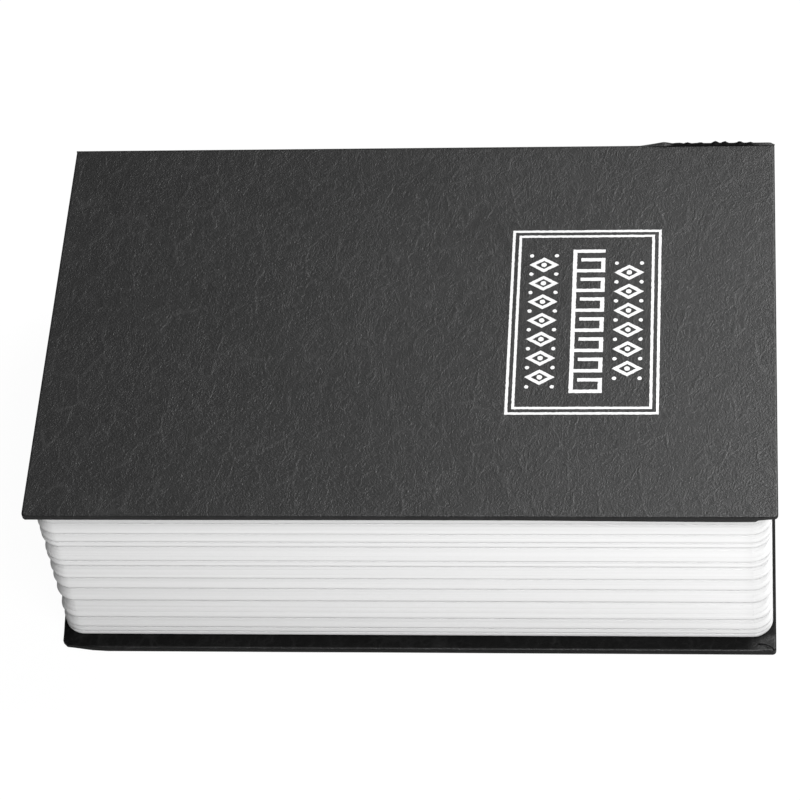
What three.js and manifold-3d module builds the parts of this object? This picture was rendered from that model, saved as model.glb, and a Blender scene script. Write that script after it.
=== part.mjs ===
// A hollow book with a locking steel box inside, in millimetres.
// +X runs to the head of the book, -Y to the fore edge, +Y to the spine and +Z up. The book lies closed on its
// back cover, and the origin is under the middle of it.
import * as THREE from "three";
import { mergeVertices } from "three/addons/utils/BufferGeometryUtils.js";
import Module from "manifold-3d";

const wasm = await Module();
wasm.setup();

// Overall book
const BOOK_LENGTH = 180; // tail to head
const BOARD_DEPTH = 115; // fore edge of a cover board to its joint edge
const BOOK_HEIGHT = 60; // outside of the back cover to outside of the front cover
const SPINE_STANDOFF = 2.5; // how far the spine stands out beyond the boards

// Case: boards, leatherette and paper
const COVERING = 0.3; // leatherette with its glue
const BOARD = 1.4; // grey board
const PASTEDOWN = 0.15;
const PASTEDOWN_INSET = 4.3; // from a cover's edge to the pastedown's edge
const TURN_IN = 14; // leatherette folded over on the inner face
const SPINE_BOARD = 1.5;
const SHOULDER = 3.4; // drop from a cover's face to the spine's edge
const JOINT_DIP = 0.35; // how far the leatherette sinks between cover and spine
const CORNER_RADIUS = 1; // plan corners of a covered board
const EDGE_ROUNDING = 0.45; // arris of a covered board

// Page block: one moulding, open underneath
const PAGE_FORE_INSET = 3.95; // cover edge to the fore edge of the pages
const PAGE_END_INSET = 0.8; // cover edge to the head and tail of the pages
const PAGE_WALL = 1.8;
const PAGE_CORNER_RADIUS = 5;
const COVER_GAP = 0.45; // between the page block and the closed front cover
const GLUE_GAP = 0.3; // between the page block and the spine board, over the turned-in leatherette
const LINE_DEPTH = 0.65; // how far the foot of each sheaf stands out over the head of the one below
const LINE_LIP = 0.15; // height of the foot's steep underside
const LINE_BEAD = 0.45; // height of the bead on the foot
// Heights of the moulded page lines above the table
const PAGE_LINES = [6.1, 10.3, 17.5, 22.9, 27.4, 32.8, 35, 41.1, 43.1, 46.5, 51, 54.2];
const RIB = 1.2;
const RIB_PITCH = 32;
const RIM_LIP = 5; // depth of the lip that hangs round the rim's opening
const RIM_LIP_WALL = 1.2;
const RIM_BACK_LAND = 1.6; // between that lip and the back wall

// Steel box
const STEEL = 0.8;
const BOX_END_MARGIN = 10.2; // from the head or tail of the pages to the box
const BOX_FORE_MARGIN = 10.15; // from the fore edge of the pages to the box
const BOX_FLOOR = 6; // underside of the box above the table
const BOX_FLANGE = 3; // turned-in edge at the top of its walls
const BOX_BEND = 1.6; // outside radius of its folded corners
const LID_RECESS = 1.6; // lid's face below the page block's rim
const LID_CLEARANCE = 0.3; // between the lid's skirts and the box
const SKIRT = 7; // height of the lid's turned-down edges
const OPENING_CLEARANCE = 0.5; // between the lid's skirts and the rim

// Piano hinge at the spine side of the box
const HINGE_LENGTH = 122;
const HINGE_LEAF = 0.7;
const HINGE_WIDTH = 13; // leaf's edge to the pin
const LEAF_CLEARANCE = 0.3; // between the box and the leaf under the lid
const PIN_RADIUS = 0.9;
const PIN_CLEARANCE = 0.15;
const PIN_END = 0.6; // how far the pin shows at each end
const KNUCKLES = 9;
const KNUCKLE_GAP = 0.35;
const HINGE_SWING_GAP = 0.8; // behind the open lid's edge

// Rivets between the box and the page block's feet
const RIVET_SHANK = 1.5;
const RIVET_HEAD = 3;
const RIVET_HEAD_HEIGHT = 1;
const RIVET_TAIL = 2.2;
const RIVET_TAIL_HEIGHT = 1.3;
const RIVET_CLEARANCE = 0.15;
const RIVET_INSET = 13; // from the box's outside to a rivet, along X and Y
const FOOT = 1.8; // thickness of the page block's feet
const FOOT_REACH = 12; // past the rivet

// Cam lock in the lid
const LOCK_SETBACK = 15.3; // lock's axis behind the box's front wall
const LOCK_FLANGE_RADIUS = 9;
const LOCK_FLANGE = 1.4;
const LOCK_FLANGE_CHAMFER = 0.8;
const LOCK_BODY_RADIUS = 6;
const LOCK_FLATS = 10.6; // across the flats of the body
const LOCK_BODY_LENGTH = 13; // under the flange
const LOCK_FIT = 0.3; // round the body in the lid, the washer and the nut
const PLUG_RADIUS = 4;
const PLUG_HEAD_RADIUS = 4.8;
const PLUG_HEAD = 1.1;
const PLUG_CHAMFER = 0.3;
const PLUG_CLEARANCE = 0.3;
const KEYWAY_WIDTH = 1.8;
const KEYWAY_LENGTH = 6.2;
const KEYWAY_DEPTH = 11;
const KEYWAY_WARD = 0.6; // step in one side of the keyway
const WASHER_RADIUS = 8.6;
const WASHER = 0.8;
const WASHER_TEETH = 12;
const WASHER_TOOTH = 1;
const NUT_ACROSS = 16;
const NUT = 3;
const TAIL_SIDE = 5; // square end of the plug that carries the cam
const TAIL_SHORTFALL = 0.3; // the tail ends above the cam's underside, so the screw clamps the cam
const CAM = 1.6;
const CAM_WIDTH = 9;
const CAM_REACH = 17; // plug's axis to the cam's tip
const CAM_TIP_RADIUS = 1.5;
const CAM_GAP = 0.4; // between the lock body's end and the cam
const CAM_FIT = 0.2; // round the plug's tail
const CATCH_CLEARANCE = 1; // round the cam in its slot in the box's front wall
const CAM_WASHER_RADIUS = 4.4;
const CAM_WASHER = 0.6;
const SCREW_SHANK = 1.6;
const SCREW_FIT = 0.2;
const SCREW_DEPTH = 4.5;
const SCREW_HEAD_RADIUS = 3.4;
const SCREW_HEAD = 1.8;
const SCREW_SLOT = 0.9;

// Places worked out from the sizes above
const coverThickness = BOARD + 2 * COVERING;
const halfLength = BOOK_LENGTH / 2;
const boardEnd = halfLength - COVERING;
const foreEdge = -(BOARD_DEPTH + SPINE_STANDOFF) / 2;
const jointEdge = foreEdge + BOARD_DEPTH;
const spineFace = jointEdge + SPINE_STANDOFF;
const spineBoardOuter = spineFace - COVERING;
const spineBoardInner = spineBoardOuter - SPINE_BOARD;
const spineTop = BOOK_HEIGHT - SHOULDER;

const pageFront = foreEdge + PAGE_FORE_INSET;
const pageBack = spineBoardInner - GLUE_GAP;
const pageEnd = halfLength - PAGE_END_INSET;
const pageBottom = coverThickness + PASTEDOWN;
const pageTop = BOOK_HEIGHT - coverThickness - PASTEDOWN - COVER_GAP;
const rimUnder = pageTop - PAGE_WALL;

const lidTop = pageTop - LID_RECESS;
const lidUnder = lidTop - STEEL;
const skirtFoot = lidUnder - SKIRT;
const boxTop = lidUnder - HINGE_LEAF - LEAF_CLEARANCE;
const boxEnd = pageEnd - BOX_END_MARGIN;
const skirtInnerX = boxEnd + LID_CLEARANCE;
const skirtOuterX = skirtInnerX + STEEL;
const openingX = skirtOuterX + OPENING_CLEARANCE;
const boreRadius = PIN_RADIUS + PIN_CLEARANCE;
const knuckleRadius = boreRadius + HINGE_LEAF;
const hingeZ = lidUnder - knuckleRadius;
const openingBack = pageBack - PAGE_WALL - RIM_LIP_WALL - RIM_BACK_LAND;
// The open lid's edge swings down behind the pin, so the rim's opening leaves room for it there.
const hingeY = openingBack - (lidTop - hingeZ) - HINGE_SWING_GAP;
const boxBack = hingeY - knuckleRadius;
const boxFront = pageFront + BOX_FORE_MARGIN;
const skirtInnerY = boxFront - LID_CLEARANCE;
const skirtOuterY = skirtInnerY - STEEL;
const openingFront = skirtOuterY - OPENING_CLEARANCE;

const lockY = boxFront + STEEL + LOCK_SETBACK;
const lockFace = lidTop + LOCK_FLANGE;
const lockBodyEnd = lidTop - LOCK_BODY_LENGTH;
const washerUnder = lidUnder - WASHER;
const nutUnder = washerUnder - NUT;
const camTop = lockBodyEnd - CAM_GAP;
const camUnder = camTop - CAM;
const camWasherUnder = camUnder - CAM_WASHER;
const screwTop = camWasherUnder + SCREW_DEPTH;
const screwHoleRadius = SCREW_SHANK + SCREW_FIT;

// Past a solid's faces by this much, so that a cut leaves no skin.
const PAST = 1;

// Colours follow the photograph, and inside the book those of a painted box and a plated lock.
const finish = {
  leatherette: { color: 0x3b3b3c, roughness: 0.62, metalness: 0 },
  board: { color: 0x8d8a83, roughness: 0.95, metalness: 0 },
  paper: { color: 0xe9e8e4, roughness: 0.9, metalness: 0 },
  pages: { color: 0xe4e4e2, roughness: 0.55, metalness: 0 },
  paintedSteel: { color: 0x232426, roughness: 0.5, metalness: 0.3 },
  zinc: { color: 0xb9bcc0, roughness: 0.35, metalness: 1 },
  chrome: { color: 0xd5d7da, roughness: 0.15, metalness: 1 },
  aluminium: { color: 0xc9cacc, roughness: 0.4, metalness: 1 },
};

// What moves together is one group. The lock sits in the lid, and its plug and cam turn in the lock.
const book = new THREE.Group();
const cover = new THREE.Group();
const lid = new THREE.Group();
const lock = new THREE.Group();
const plugAndCam = new THREE.Group();
lock.position.y = lockY;
book.add(cover, lid);
lid.add(lock);
lock.add(plugAndCam);

// The axes at rest: the cover turns on its leatherette joint, the lid on its pin and the plug on its own middle.
const coverAxisBeyondBoard = SPINE_STANDOFF / 2 + 0.1;
const coverAxisDrop = SHOULDER / 2 - 0.2;
book.userData.axes = {
  cover: { point: [0, jointEdge + coverAxisBeyondBoard, BOOK_HEIGHT - coverAxisDrop], direction: [-1, 0, 0] },
  lid: { point: [0, hingeY, hingeZ], direction: [-1, 0, 0] },
  plug: { point: [0, lockY, lockFace], direction: [0, 0, -1] },
};

function addPiece(group, name, geometry, look) {
  geometry.computeVertexNormals();
  const mesh = new THREE.Mesh(geometry, new THREE.MeshStandardMaterial(look));
  mesh.name = name;
  group.add(mesh);
}

// A three.js geometry as a closed solid, to cut and join, and the way back.
function solid(geometry) {
  const bare = geometry.clone();
  for (const attribute of Object.keys(bare.attributes)) {
    if (attribute !== "position") bare.deleteAttribute(attribute);
  }
  const merged = mergeVertices(bare, 1e-4);
  return new wasm.Manifold(
    new wasm.Mesh({
      numProp: 3,
      vertProperties: new Float32Array(merged.attributes.position.array),
      triVerts: new Uint32Array(merged.index.array),
    }),
  );
}

function geometryOf(made) {
  const mesh = made.getMesh();
  const geometry = new THREE.BufferGeometry();
  geometry.setAttribute("position", new THREE.BufferAttribute(mesh.vertProperties, 3));
  geometry.setIndex(new THREE.BufferAttribute(mesh.triVerts, 1));
  return geometry.toNonIndexed();
}

const join = (...solids) => solids.reduce((all, next) => all.add(next));
const cut = (from, ...tools) => tools.reduce((left, tool) => left.subtract(tool), from);

// A box between two values on each axis.
function slab(x, y, z) {
  const geometry = new THREE.BoxGeometry(x[1] - x[0], y[1] - y[0], z[1] - z[0]);
  return geometry.translate((x[0] + x[1]) / 2, (y[0] + y[1]) / 2, (z[0] + z[1]) / 2);
}

const block = (x, y, z) => solid(slab(x, y, z));
const bothWays = (half) => [-half, half];

// A plan outline raised from z0 to z1.
function raised(outline, z0, z1, options = {}) {
  const settings = { depth: z1 - z0, bevelEnabled: false, curveSegments: 3, ...options };
  return new THREE.ExtrudeGeometry(outline, settings).translate(0, 0, z0);
}

// A section drawn in (y, z), drawn out along X.
const sectionToWorld = new THREE.Matrix4().makeBasis(
  new THREE.Vector3(0, 1, 0),
  new THREE.Vector3(0, 0, 1),
  new THREE.Vector3(1, 0, 0),
);
function drawnOut(section, x0, x1, curveSegments = 8) {
  const geometry = new THREE.ExtrudeGeometry(section, { depth: x1 - x0, bevelEnabled: false, curveSegments });
  return geometry.applyMatrix4(sectionToWorld).translate(x0, 0, 0);
}

// A profile of [radius, z] turned about an upright axis.
function turned(profile, sides = 32) {
  const points = profile.map(([radius, z]) => new THREE.Vector2(radius, z));
  return new THREE.LatheGeometry(points, sides).rotateX(Math.PI / 2);
}

const disc = (radius, z0, z1, sides) => turned([[0, z0], [radius, z0], [radius, z1], [0, z1]], sides);
const circle = (radius, y = 0, z = 0) => new THREE.Shape().absarc(y, z, radius, 0, 2 * Math.PI);
const polygon = (points) => new THREE.Shape(points.map(([a, b]) => new THREE.Vector2(a, b)));

// A plan with two round corners at the fore edge and two square ones towards the spine.
function foreRoundedPlan(end, front, back, radius) {
  const shape = new THREE.Shape();
  shape.moveTo(-end, back);
  shape.lineTo(-end, front + radius);
  shape.absarc(-end + radius, front + radius, radius, Math.PI, 1.5 * Math.PI);
  shape.lineTo(end - radius, front);
  shape.absarc(end - radius, front + radius, radius, -Math.PI / 2, 0);
  shape.lineTo(end, back);
  return shape;
}

function roundedRectangle(end, front, back, radius) {
  const shape = new THREE.Shape();
  shape.moveTo(-end, back - radius);
  shape.lineTo(-end, front + radius);
  shape.absarc(-end + radius, front + radius, radius, Math.PI, 1.5 * Math.PI);
  shape.lineTo(end - radius, front);
  shape.absarc(end - radius, front + radius, radius, -Math.PI / 2, 0);
  shape.lineTo(end, back - radius);
  shape.absarc(end - radius, back - radius, radius, 0, Math.PI / 2);
  shape.lineTo(-end + radius, back);
  shape.absarc(-end + radius, back - radius, radius, Math.PI / 2, Math.PI);
  return shape;
}

// The pieces of a cover are drawn for the back cover, with its outside at z = 0.
// The front cover's are the same, turned over.
const turnedOver = (made) => made.mirror([0, 0, 1]).translate([0, 0, BOOK_HEIGHT]);

const coverBoard = block(bothWays(boardEnd), [foreEdge + COVERING, jointEdge], [COVERING, COVERING + BOARD]);

// Leatherette wraps the outside and three edges and is folded over on the inside. The edge at the joint stays open.
function coverLeatherette() {
  const plan = foreRoundedPlan(
    halfLength - EDGE_ROUNDING,
    foreEdge + EDGE_ROUNDING,
    jointEdge,
    Math.max(CORNER_RADIUS - EDGE_ROUNDING, COVERING),
  );
  const softSlab = raised(plan, EDGE_ROUNDING, coverThickness - EDGE_ROUNDING, {
    bevelEnabled: true,
    bevelThickness: EDGE_ROUNDING,
    bevelSize: EDGE_ROUNDING,
    bevelSegments: 2,
    curveSegments: 2,
  });
  const pastJoint = jointEdge + EDGE_ROUNDING + PAST;
  const whole = bothWays(halfLength + PAST);
  const beyondJoint = block(whole, [jointEdge, pastJoint], [-PAST, coverThickness + PAST]);
  const boardSpace = block(bothWays(boardEnd), [foreEdge + COVERING, pastJoint], [COVERING, COVERING + BOARD]);
  const betweenTurnIns = block(
    bothWays(halfLength - TURN_IN),
    [foreEdge + TURN_IN, pastJoint],
    [COVERING, coverThickness + PAST],
  );
  return cut(solid(softSlab), beyondJoint, boardSpace, betweenTurnIns);
}

// The pastedown lies over the folded leatherette and fills the space between the folds.
const inset = PASTEDOWN_INSET;
const pastedownFace = coverThickness + PASTEDOWN;
const pastedown = join(
  block(bothWays(halfLength - inset), [foreEdge + inset, jointEdge], [coverThickness, pastedownFace]),
  block(bothWays(halfLength - TURN_IN), [foreEdge + TURN_IN, jointEdge], [COVERING + BOARD, pastedownFace]),
);

// The leatherette strip between a cover and the spine dips a little, and its ends meet both flat.
function jointStrip() {
  const midY = (jointEdge + spineFace) / 2 - JOINT_DIP;
  const midZ = SHOULDER / 2 + JOINT_DIP;
  const section = new THREE.Shape();
  section.moveTo(jointEdge, 0);
  section.quadraticCurveTo(midY, midZ, spineFace, SHOULDER);
  section.lineTo(spineBoardOuter, SHOULDER);
  section.quadraticCurveTo(midY - COVERING, midZ + COVERING, jointEdge, COVERING);
  return solid(drawnOut(section, -halfLength, halfLength, 6));
}

function buildCase() {
  addPiece(book, "back_board", geometryOf(coverBoard), finish.board);
  addPiece(book, "back_pastedown", geometryOf(pastedown), finish.paper);

  const spineHeight = [SHOULDER, spineTop];
  const spineCard = slab(bothWays(boardEnd), [spineBoardInner, spineBoardOuter], spineHeight);
  addPiece(book, "spine_board", spineCard, finish.board);

  // One sheet wraps the back board, crosses the joint and runs up the spine, where its ends are folded in. It is
  // drawn as three pieces that meet at the ends of the joint.
  const spineWrap = block(bothWays(halfLength), [spineBoardInner - COVERING, spineFace], spineHeight);
  const spineCardSpace = block(bothWays(boardEnd), [spineBoardInner, spineBoardOuter], [0, BOOK_HEIGHT]);
  const betweenFolds = block(bothWays(halfLength - TURN_IN), [pageBack - PAST, spineBoardOuter], [0, BOOK_HEIGHT]);
  addPiece(book, "back_covering", geometryOf(coverLeatherette()), finish.leatherette);
  addPiece(book, "back_joint", geometryOf(jointStrip()), finish.leatherette);
  addPiece(book, "spine_covering", geometryOf(cut(spineWrap, spineCardSpace, betweenFolds)), finish.leatherette);
}

function buildFrontCover() {
  addPiece(cover, "front_board", geometryOf(turnedOver(coverBoard)), finish.board);
  addPiece(cover, "front_covering", geometryOf(turnedOver(coverLeatherette())), finish.leatherette);
  addPiece(cover, "front_pastedown", geometryOf(turnedOver(pastedown)), finish.paper);
  addPiece(cover, "front_joint", geometryOf(turnedOver(jointStrip())), finish.leatherette);
}

// Plan of the page block, drawn in on its three page sides. Its back lies flat to the spine.
const pagePlan = (drawnIn) =>
  foreRoundedPlan(pageEnd - drawnIn, pageFront + drawnIn, pageBack, PAGE_CORNER_RADIUS - drawnIn);

// Each sheaf between two page lines slopes back from its foot: [height, drawn in] up to near its head.
function sheaf(foot, head) {
  const bead = foot + LINE_LIP + LINE_BEAD;
  return [
    [foot, LINE_DEPTH],
    [foot + LINE_LIP, 0],
    [bead, LINE_DEPTH * 0.2],
    [(bead + head) / 2, LINE_DEPTH * 0.4],
  ];
}

// The outside of the pages, lofted through one plan for each height.
function pageStack() {
  const inside = (z) => z > pageBottom + LINE_LIP && z < pageTop - LINE_LIP;
  const edges = [pageBottom, ...PAGE_LINES.filter(inside), pageTop];
  const levels = edges.slice(1).flatMap((head, i) => sheaf(edges[i], head));
  levels.push([pageTop, LINE_DEPTH]);
  const plans = levels.map(([, drawnIn]) => pagePlan(drawnIn).getPoints(3));
  const around = plans[0].length;
  const positions = plans.flatMap((plan, level) => plan.flatMap((p) => [p.x, p.y, levels[level][0]]));
  const indices = [];
  for (let low = 0; low < (levels.length - 1) * around; low += around) {
    const high = low + around;
    for (let i = 0; i < around; i++) {
      const next = (i + 1) % around;
      indices.push(low + i, low + next, high + next, low + i, high + next, high + i);
    }
  }
  const top = (levels.length - 1) * around;
  for (const [a, b, c] of THREE.ShapeUtils.triangulateShape(plans[0], [])) {
    indices.push(a, c, b, top + a, top + b, top + c);
  }
  const geometry = new THREE.BufferGeometry();
  geometry.setAttribute("position", new THREE.Float32BufferAttribute(positions, 3));
  geometry.setIndex(indices);
  return solid(geometry);
}

const rivetPlaces = [-1, 1].flatMap((side) =>
  [boxFront + RIVET_INSET, boxBack - RIVET_INSET].map((y) => ({ side, x: side * (boxEnd - RIVET_INSET), y })),
);
const rivetHoles = () =>
  rivetPlaces.map(({ x, y }) =>
    solid(disc(RIVET_SHANK + RIVET_CLEARANCE, pageBottom, BOX_FLOOR + STEEL + PAST, 12).translate(x, y, 0)),
  );

// Places of copies at a pitch, centred between two ends.
function spread(from, to, pitch) {
  const gaps = Math.floor((to - from) / pitch);
  return Array.from({ length: gaps + 1 }, (_, i) => (from + to) / 2 + (i - gaps / 2) * pitch);
}

function buildPageBlock() {
  // The wall keeps its thickness behind the deepest page line.
  const behindLines = PAGE_WALL + LINE_DEPTH;
  const hollowPlan = foreRoundedPlan(
    pageEnd - behindLines,
    pageFront + behindLines,
    pageBack - PAGE_WALL,
    PAGE_CORNER_RADIUS - behindLines,
  );
  const hollow = solid(raised(hollowPlan, 0, rimUnder));
  const shell = cut(pageStack(), hollow);

  // A lip hangs round the opening in the rim.
  const lip = block(
    bothWays(openingX + RIM_LIP_WALL),
    [openingFront - RIM_LIP_WALL, openingBack + RIM_LIP_WALL],
    [rimUnder - RIM_LIP, rimUnder],
  );

  // Ribs stand between the walls and the box, along the fore edge and the two ends.
  const ribZ = [pageBottom, rimUnder + PAGE_WALL / 2];
  const wallY = pageFront + PAGE_WALL;
  const wallX = pageEnd - PAGE_WALL;
  const straight = pageEnd - PAGE_CORNER_RADIUS;
  const foreRibs = spread(-straight, straight, RIB_PITCH).map((x) =>
    block([x - RIB / 2, x + RIB / 2], [wallY, openingFront], ribZ),
  );
  const endRibs = spread(openingFront, openingBack, RIB_PITCH).flatMap((y) =>
    [[-wallX, -openingX], [openingX, wallX]].map((x) => block(x, [y - RIB / 2, y + RIB / 2], ribZ)),
  );

  // Feet reach in under the box's corners, and the box is riveted down to them.
  const feet = rivetPlaces.map(({ side, x, y }) => {
    const span = side > 0 ? [x - FOOT_REACH, wallX] : [-wallX, x + FOOT_REACH];
    return block(span, [y - FOOT_REACH, y + FOOT_REACH], [BOX_FLOOR - FOOT, BOX_FLOOR]);
  });

  const opening = block(bothWays(openingX), [openingFront, openingBack], [pageBottom - PAST, BOOK_HEIGHT]);
  const framed = cut(join(shell, lip, ...foreRibs, ...endRibs), opening);
  addPiece(book, "page_block", geometryOf(cut(join(framed, ...feet), ...rivetHoles())), finish.pages);
}

function buildSteelBox() {
  const floorTop = BOX_FLOOR + STEEL;
  const outside = raised(roundedRectangle(boxEnd, boxFront, boxBack, BOX_BEND), BOX_FLOOR, boxTop, { curveSegments: 2 });
  const hollowPlan = roundedRectangle(boxEnd - STEEL, boxFront + STEEL, boxBack - STEEL, BOX_BEND - STEEL);
  const hollow = raised(hollowPlan, floorTop, boxTop - STEEL, { curveSegments: 2 });
  const edge = STEEL + BOX_FLANGE;
  const mouth = block(bothWays(boxEnd - edge), [boxFront + edge, boxBack - edge], [floorTop + PAST, boxTop + PAST]);

  // The cam turns into this slot from the side, and ends up behind the front wall.
  const sweep = Math.hypot(CAM_REACH, CAM_WIDTH / 2);
  const crossing = Math.sqrt(Math.max(sweep ** 2 - LOCK_SETBACK ** 2, 0));
  const slotHalf = Math.max(crossing, CAM_WIDTH / 2) + CATCH_CLEARANCE;
  const slot = block(
    bothWays(slotHalf),
    [boxFront - PAST, boxFront + STEEL + PAST],
    [camUnder - CATCH_CLEARANCE, camTop + CATCH_CLEARANCE],
  );
  const box = cut(solid(outside), solid(hollow), mouth, slot, ...rivetHoles());
  addPiece(book, "steel_box", geometryOf(box), finish.paintedSteel);

  const footUnder = BOX_FLOOR - FOOT;
  const rivetProfile = [
    [0, footUnder - RIVET_TAIL_HEIGHT],
    [RIVET_TAIL * 0.7, footUnder - RIVET_TAIL_HEIGHT],
    [RIVET_TAIL, footUnder - RIVET_TAIL_HEIGHT / 2],
    [RIVET_TAIL, footUnder],
    [RIVET_SHANK, footUnder],
    [RIVET_SHANK, floorTop],
    [RIVET_HEAD, floorTop],
    [RIVET_HEAD * 0.85, floorTop + RIVET_HEAD_HEIGHT * 0.6],
    [RIVET_HEAD * 0.45, floorTop + RIVET_HEAD_HEIGHT],
    [0, floorTop + RIVET_HEAD_HEIGHT],
  ];
  rivetPlaces.forEach(({ x, y }, i) => {
    addPiece(book, "box_rivet_" + (i + 1), turned(rivetProfile, 12).translate(x, y, 0), finish.aluminium);
  });
}

// A leaf of the piano hinge: a flat strip whose edge is rolled round the pin into every other knuckle, with
// notches where the other leaf's knuckles turn.
function hingeLeaf(flat, firstKnuckle) {
  const pitch = HINGE_LENGTH / KNUCKLES;
  const start = -HINGE_LENGTH / 2;
  const ownKnuckle = circle(knuckleRadius, hingeY, hingeZ);
  const turningRoom = knuckleRadius + KNUCKLE_GAP;
  const roomY = [hingeY - turningRoom, hingeY + turningRoom];
  const roomZ = [hingeZ - turningRoom, hingeZ + turningRoom];
  let leaf = solid(drawnOut(flat, start, -start));
  for (let i = 0; i < KNUCKLES; i++) {
    const from = start + i * pitch;
    const to = from + pitch;
    if (i % 2 === firstKnuckle) {
      leaf = join(leaf, solid(drawnOut(ownKnuckle, from + KNUCKLE_GAP / 2, to - KNUCKLE_GAP / 2)));
    } else {
      leaf = cut(leaf, block([from - KNUCKLE_GAP / 2, to + KNUCKLE_GAP / 2], roomY, roomZ));
    }
  }
  return cut(leaf, solid(drawnOut(circle(boreRadius, hingeY, hingeZ), start - PAST, PAST - start)));
}

// Closed, the two leaves stand at a right angle: the box's hangs in front of the pin, the lid's lies above it.
function buildHinge() {
  const boxFlat = polygon([
    [boxBack, hingeZ - HINGE_WIDTH],
    [boxBack + HINGE_LEAF, hingeZ - HINGE_WIDTH],
    [boxBack + HINGE_LEAF, hingeZ],
    [boxBack, hingeZ],
  ]);
  const lidFlat = polygon([
    [hingeY - HINGE_WIDTH, lidUnder - HINGE_LEAF],
    [hingeY, lidUnder - HINGE_LEAF],
    [hingeY, lidUnder],
    [hingeY - HINGE_WIDTH, lidUnder],
  ]);
  addPiece(book, "box_hinge_leaf", geometryOf(hingeLeaf(boxFlat, 0)), finish.zinc);
  addPiece(lid, "lid_hinge_leaf", geometryOf(hingeLeaf(lidFlat, 1)), finish.zinc);
  const pinEnd = HINGE_LENGTH / 2 + PIN_END;
  addPiece(book, "hinge_pin", drawnOut(circle(PIN_RADIUS, hingeY, hingeZ), -pinEnd, pinEnd), finish.zinc);
}

// A round bar with two flats, about the lock's axis: the lock's body, and the holes that stop it turning.
function doubleD(grow, z0, z1) {
  const radius = LOCK_BODY_RADIUS + grow;
  const flats = block(bothWays(LOCK_FLATS / 2 + grow), bothWays(radius + PAST), [z0, z1]);
  return solid(disc(radius, z0, z1)).intersect(flats);
}

// The lid is a folded tray, upside down, with no edge at its hinge.
function buildLid() {
  const rear = hingeY - LID_CLEARANCE;
  const bend = BOX_BEND + LID_CLEARANCE + STEEL;
  const outerPlan = foreRoundedPlan(skirtOuterX, skirtOuterY, rear, bend);
  const innerPlan = foreRoundedPlan(skirtInnerX, skirtInnerY, rear + PAST, bend - STEEL);
  const outside = raised(outerPlan, skirtFoot, lidTop, { curveSegments: 2 });
  const inside = raised(innerPlan, skirtFoot - PAST, lidUnder, { curveSegments: 2 });
  // The side skirts stop short of the hinge, so they clear it as the lid turns.
  const skirtEnds = block(
    bothWays(skirtOuterX + PAST),
    [boxBack - BOX_BEND, rear + PAST],
    [skirtFoot - PAST, lidUnder],
  );
  const lockHole = doubleD(LOCK_FIT, lidUnder - PAST, lidTop + PAST).translate([0, lockY, 0]);
  const tray = cut(solid(outside), solid(inside), skirtEnds, lockHole);
  addPiece(lid, "box_lid", geometryOf(tray), finish.paintedSteel);
}

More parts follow.
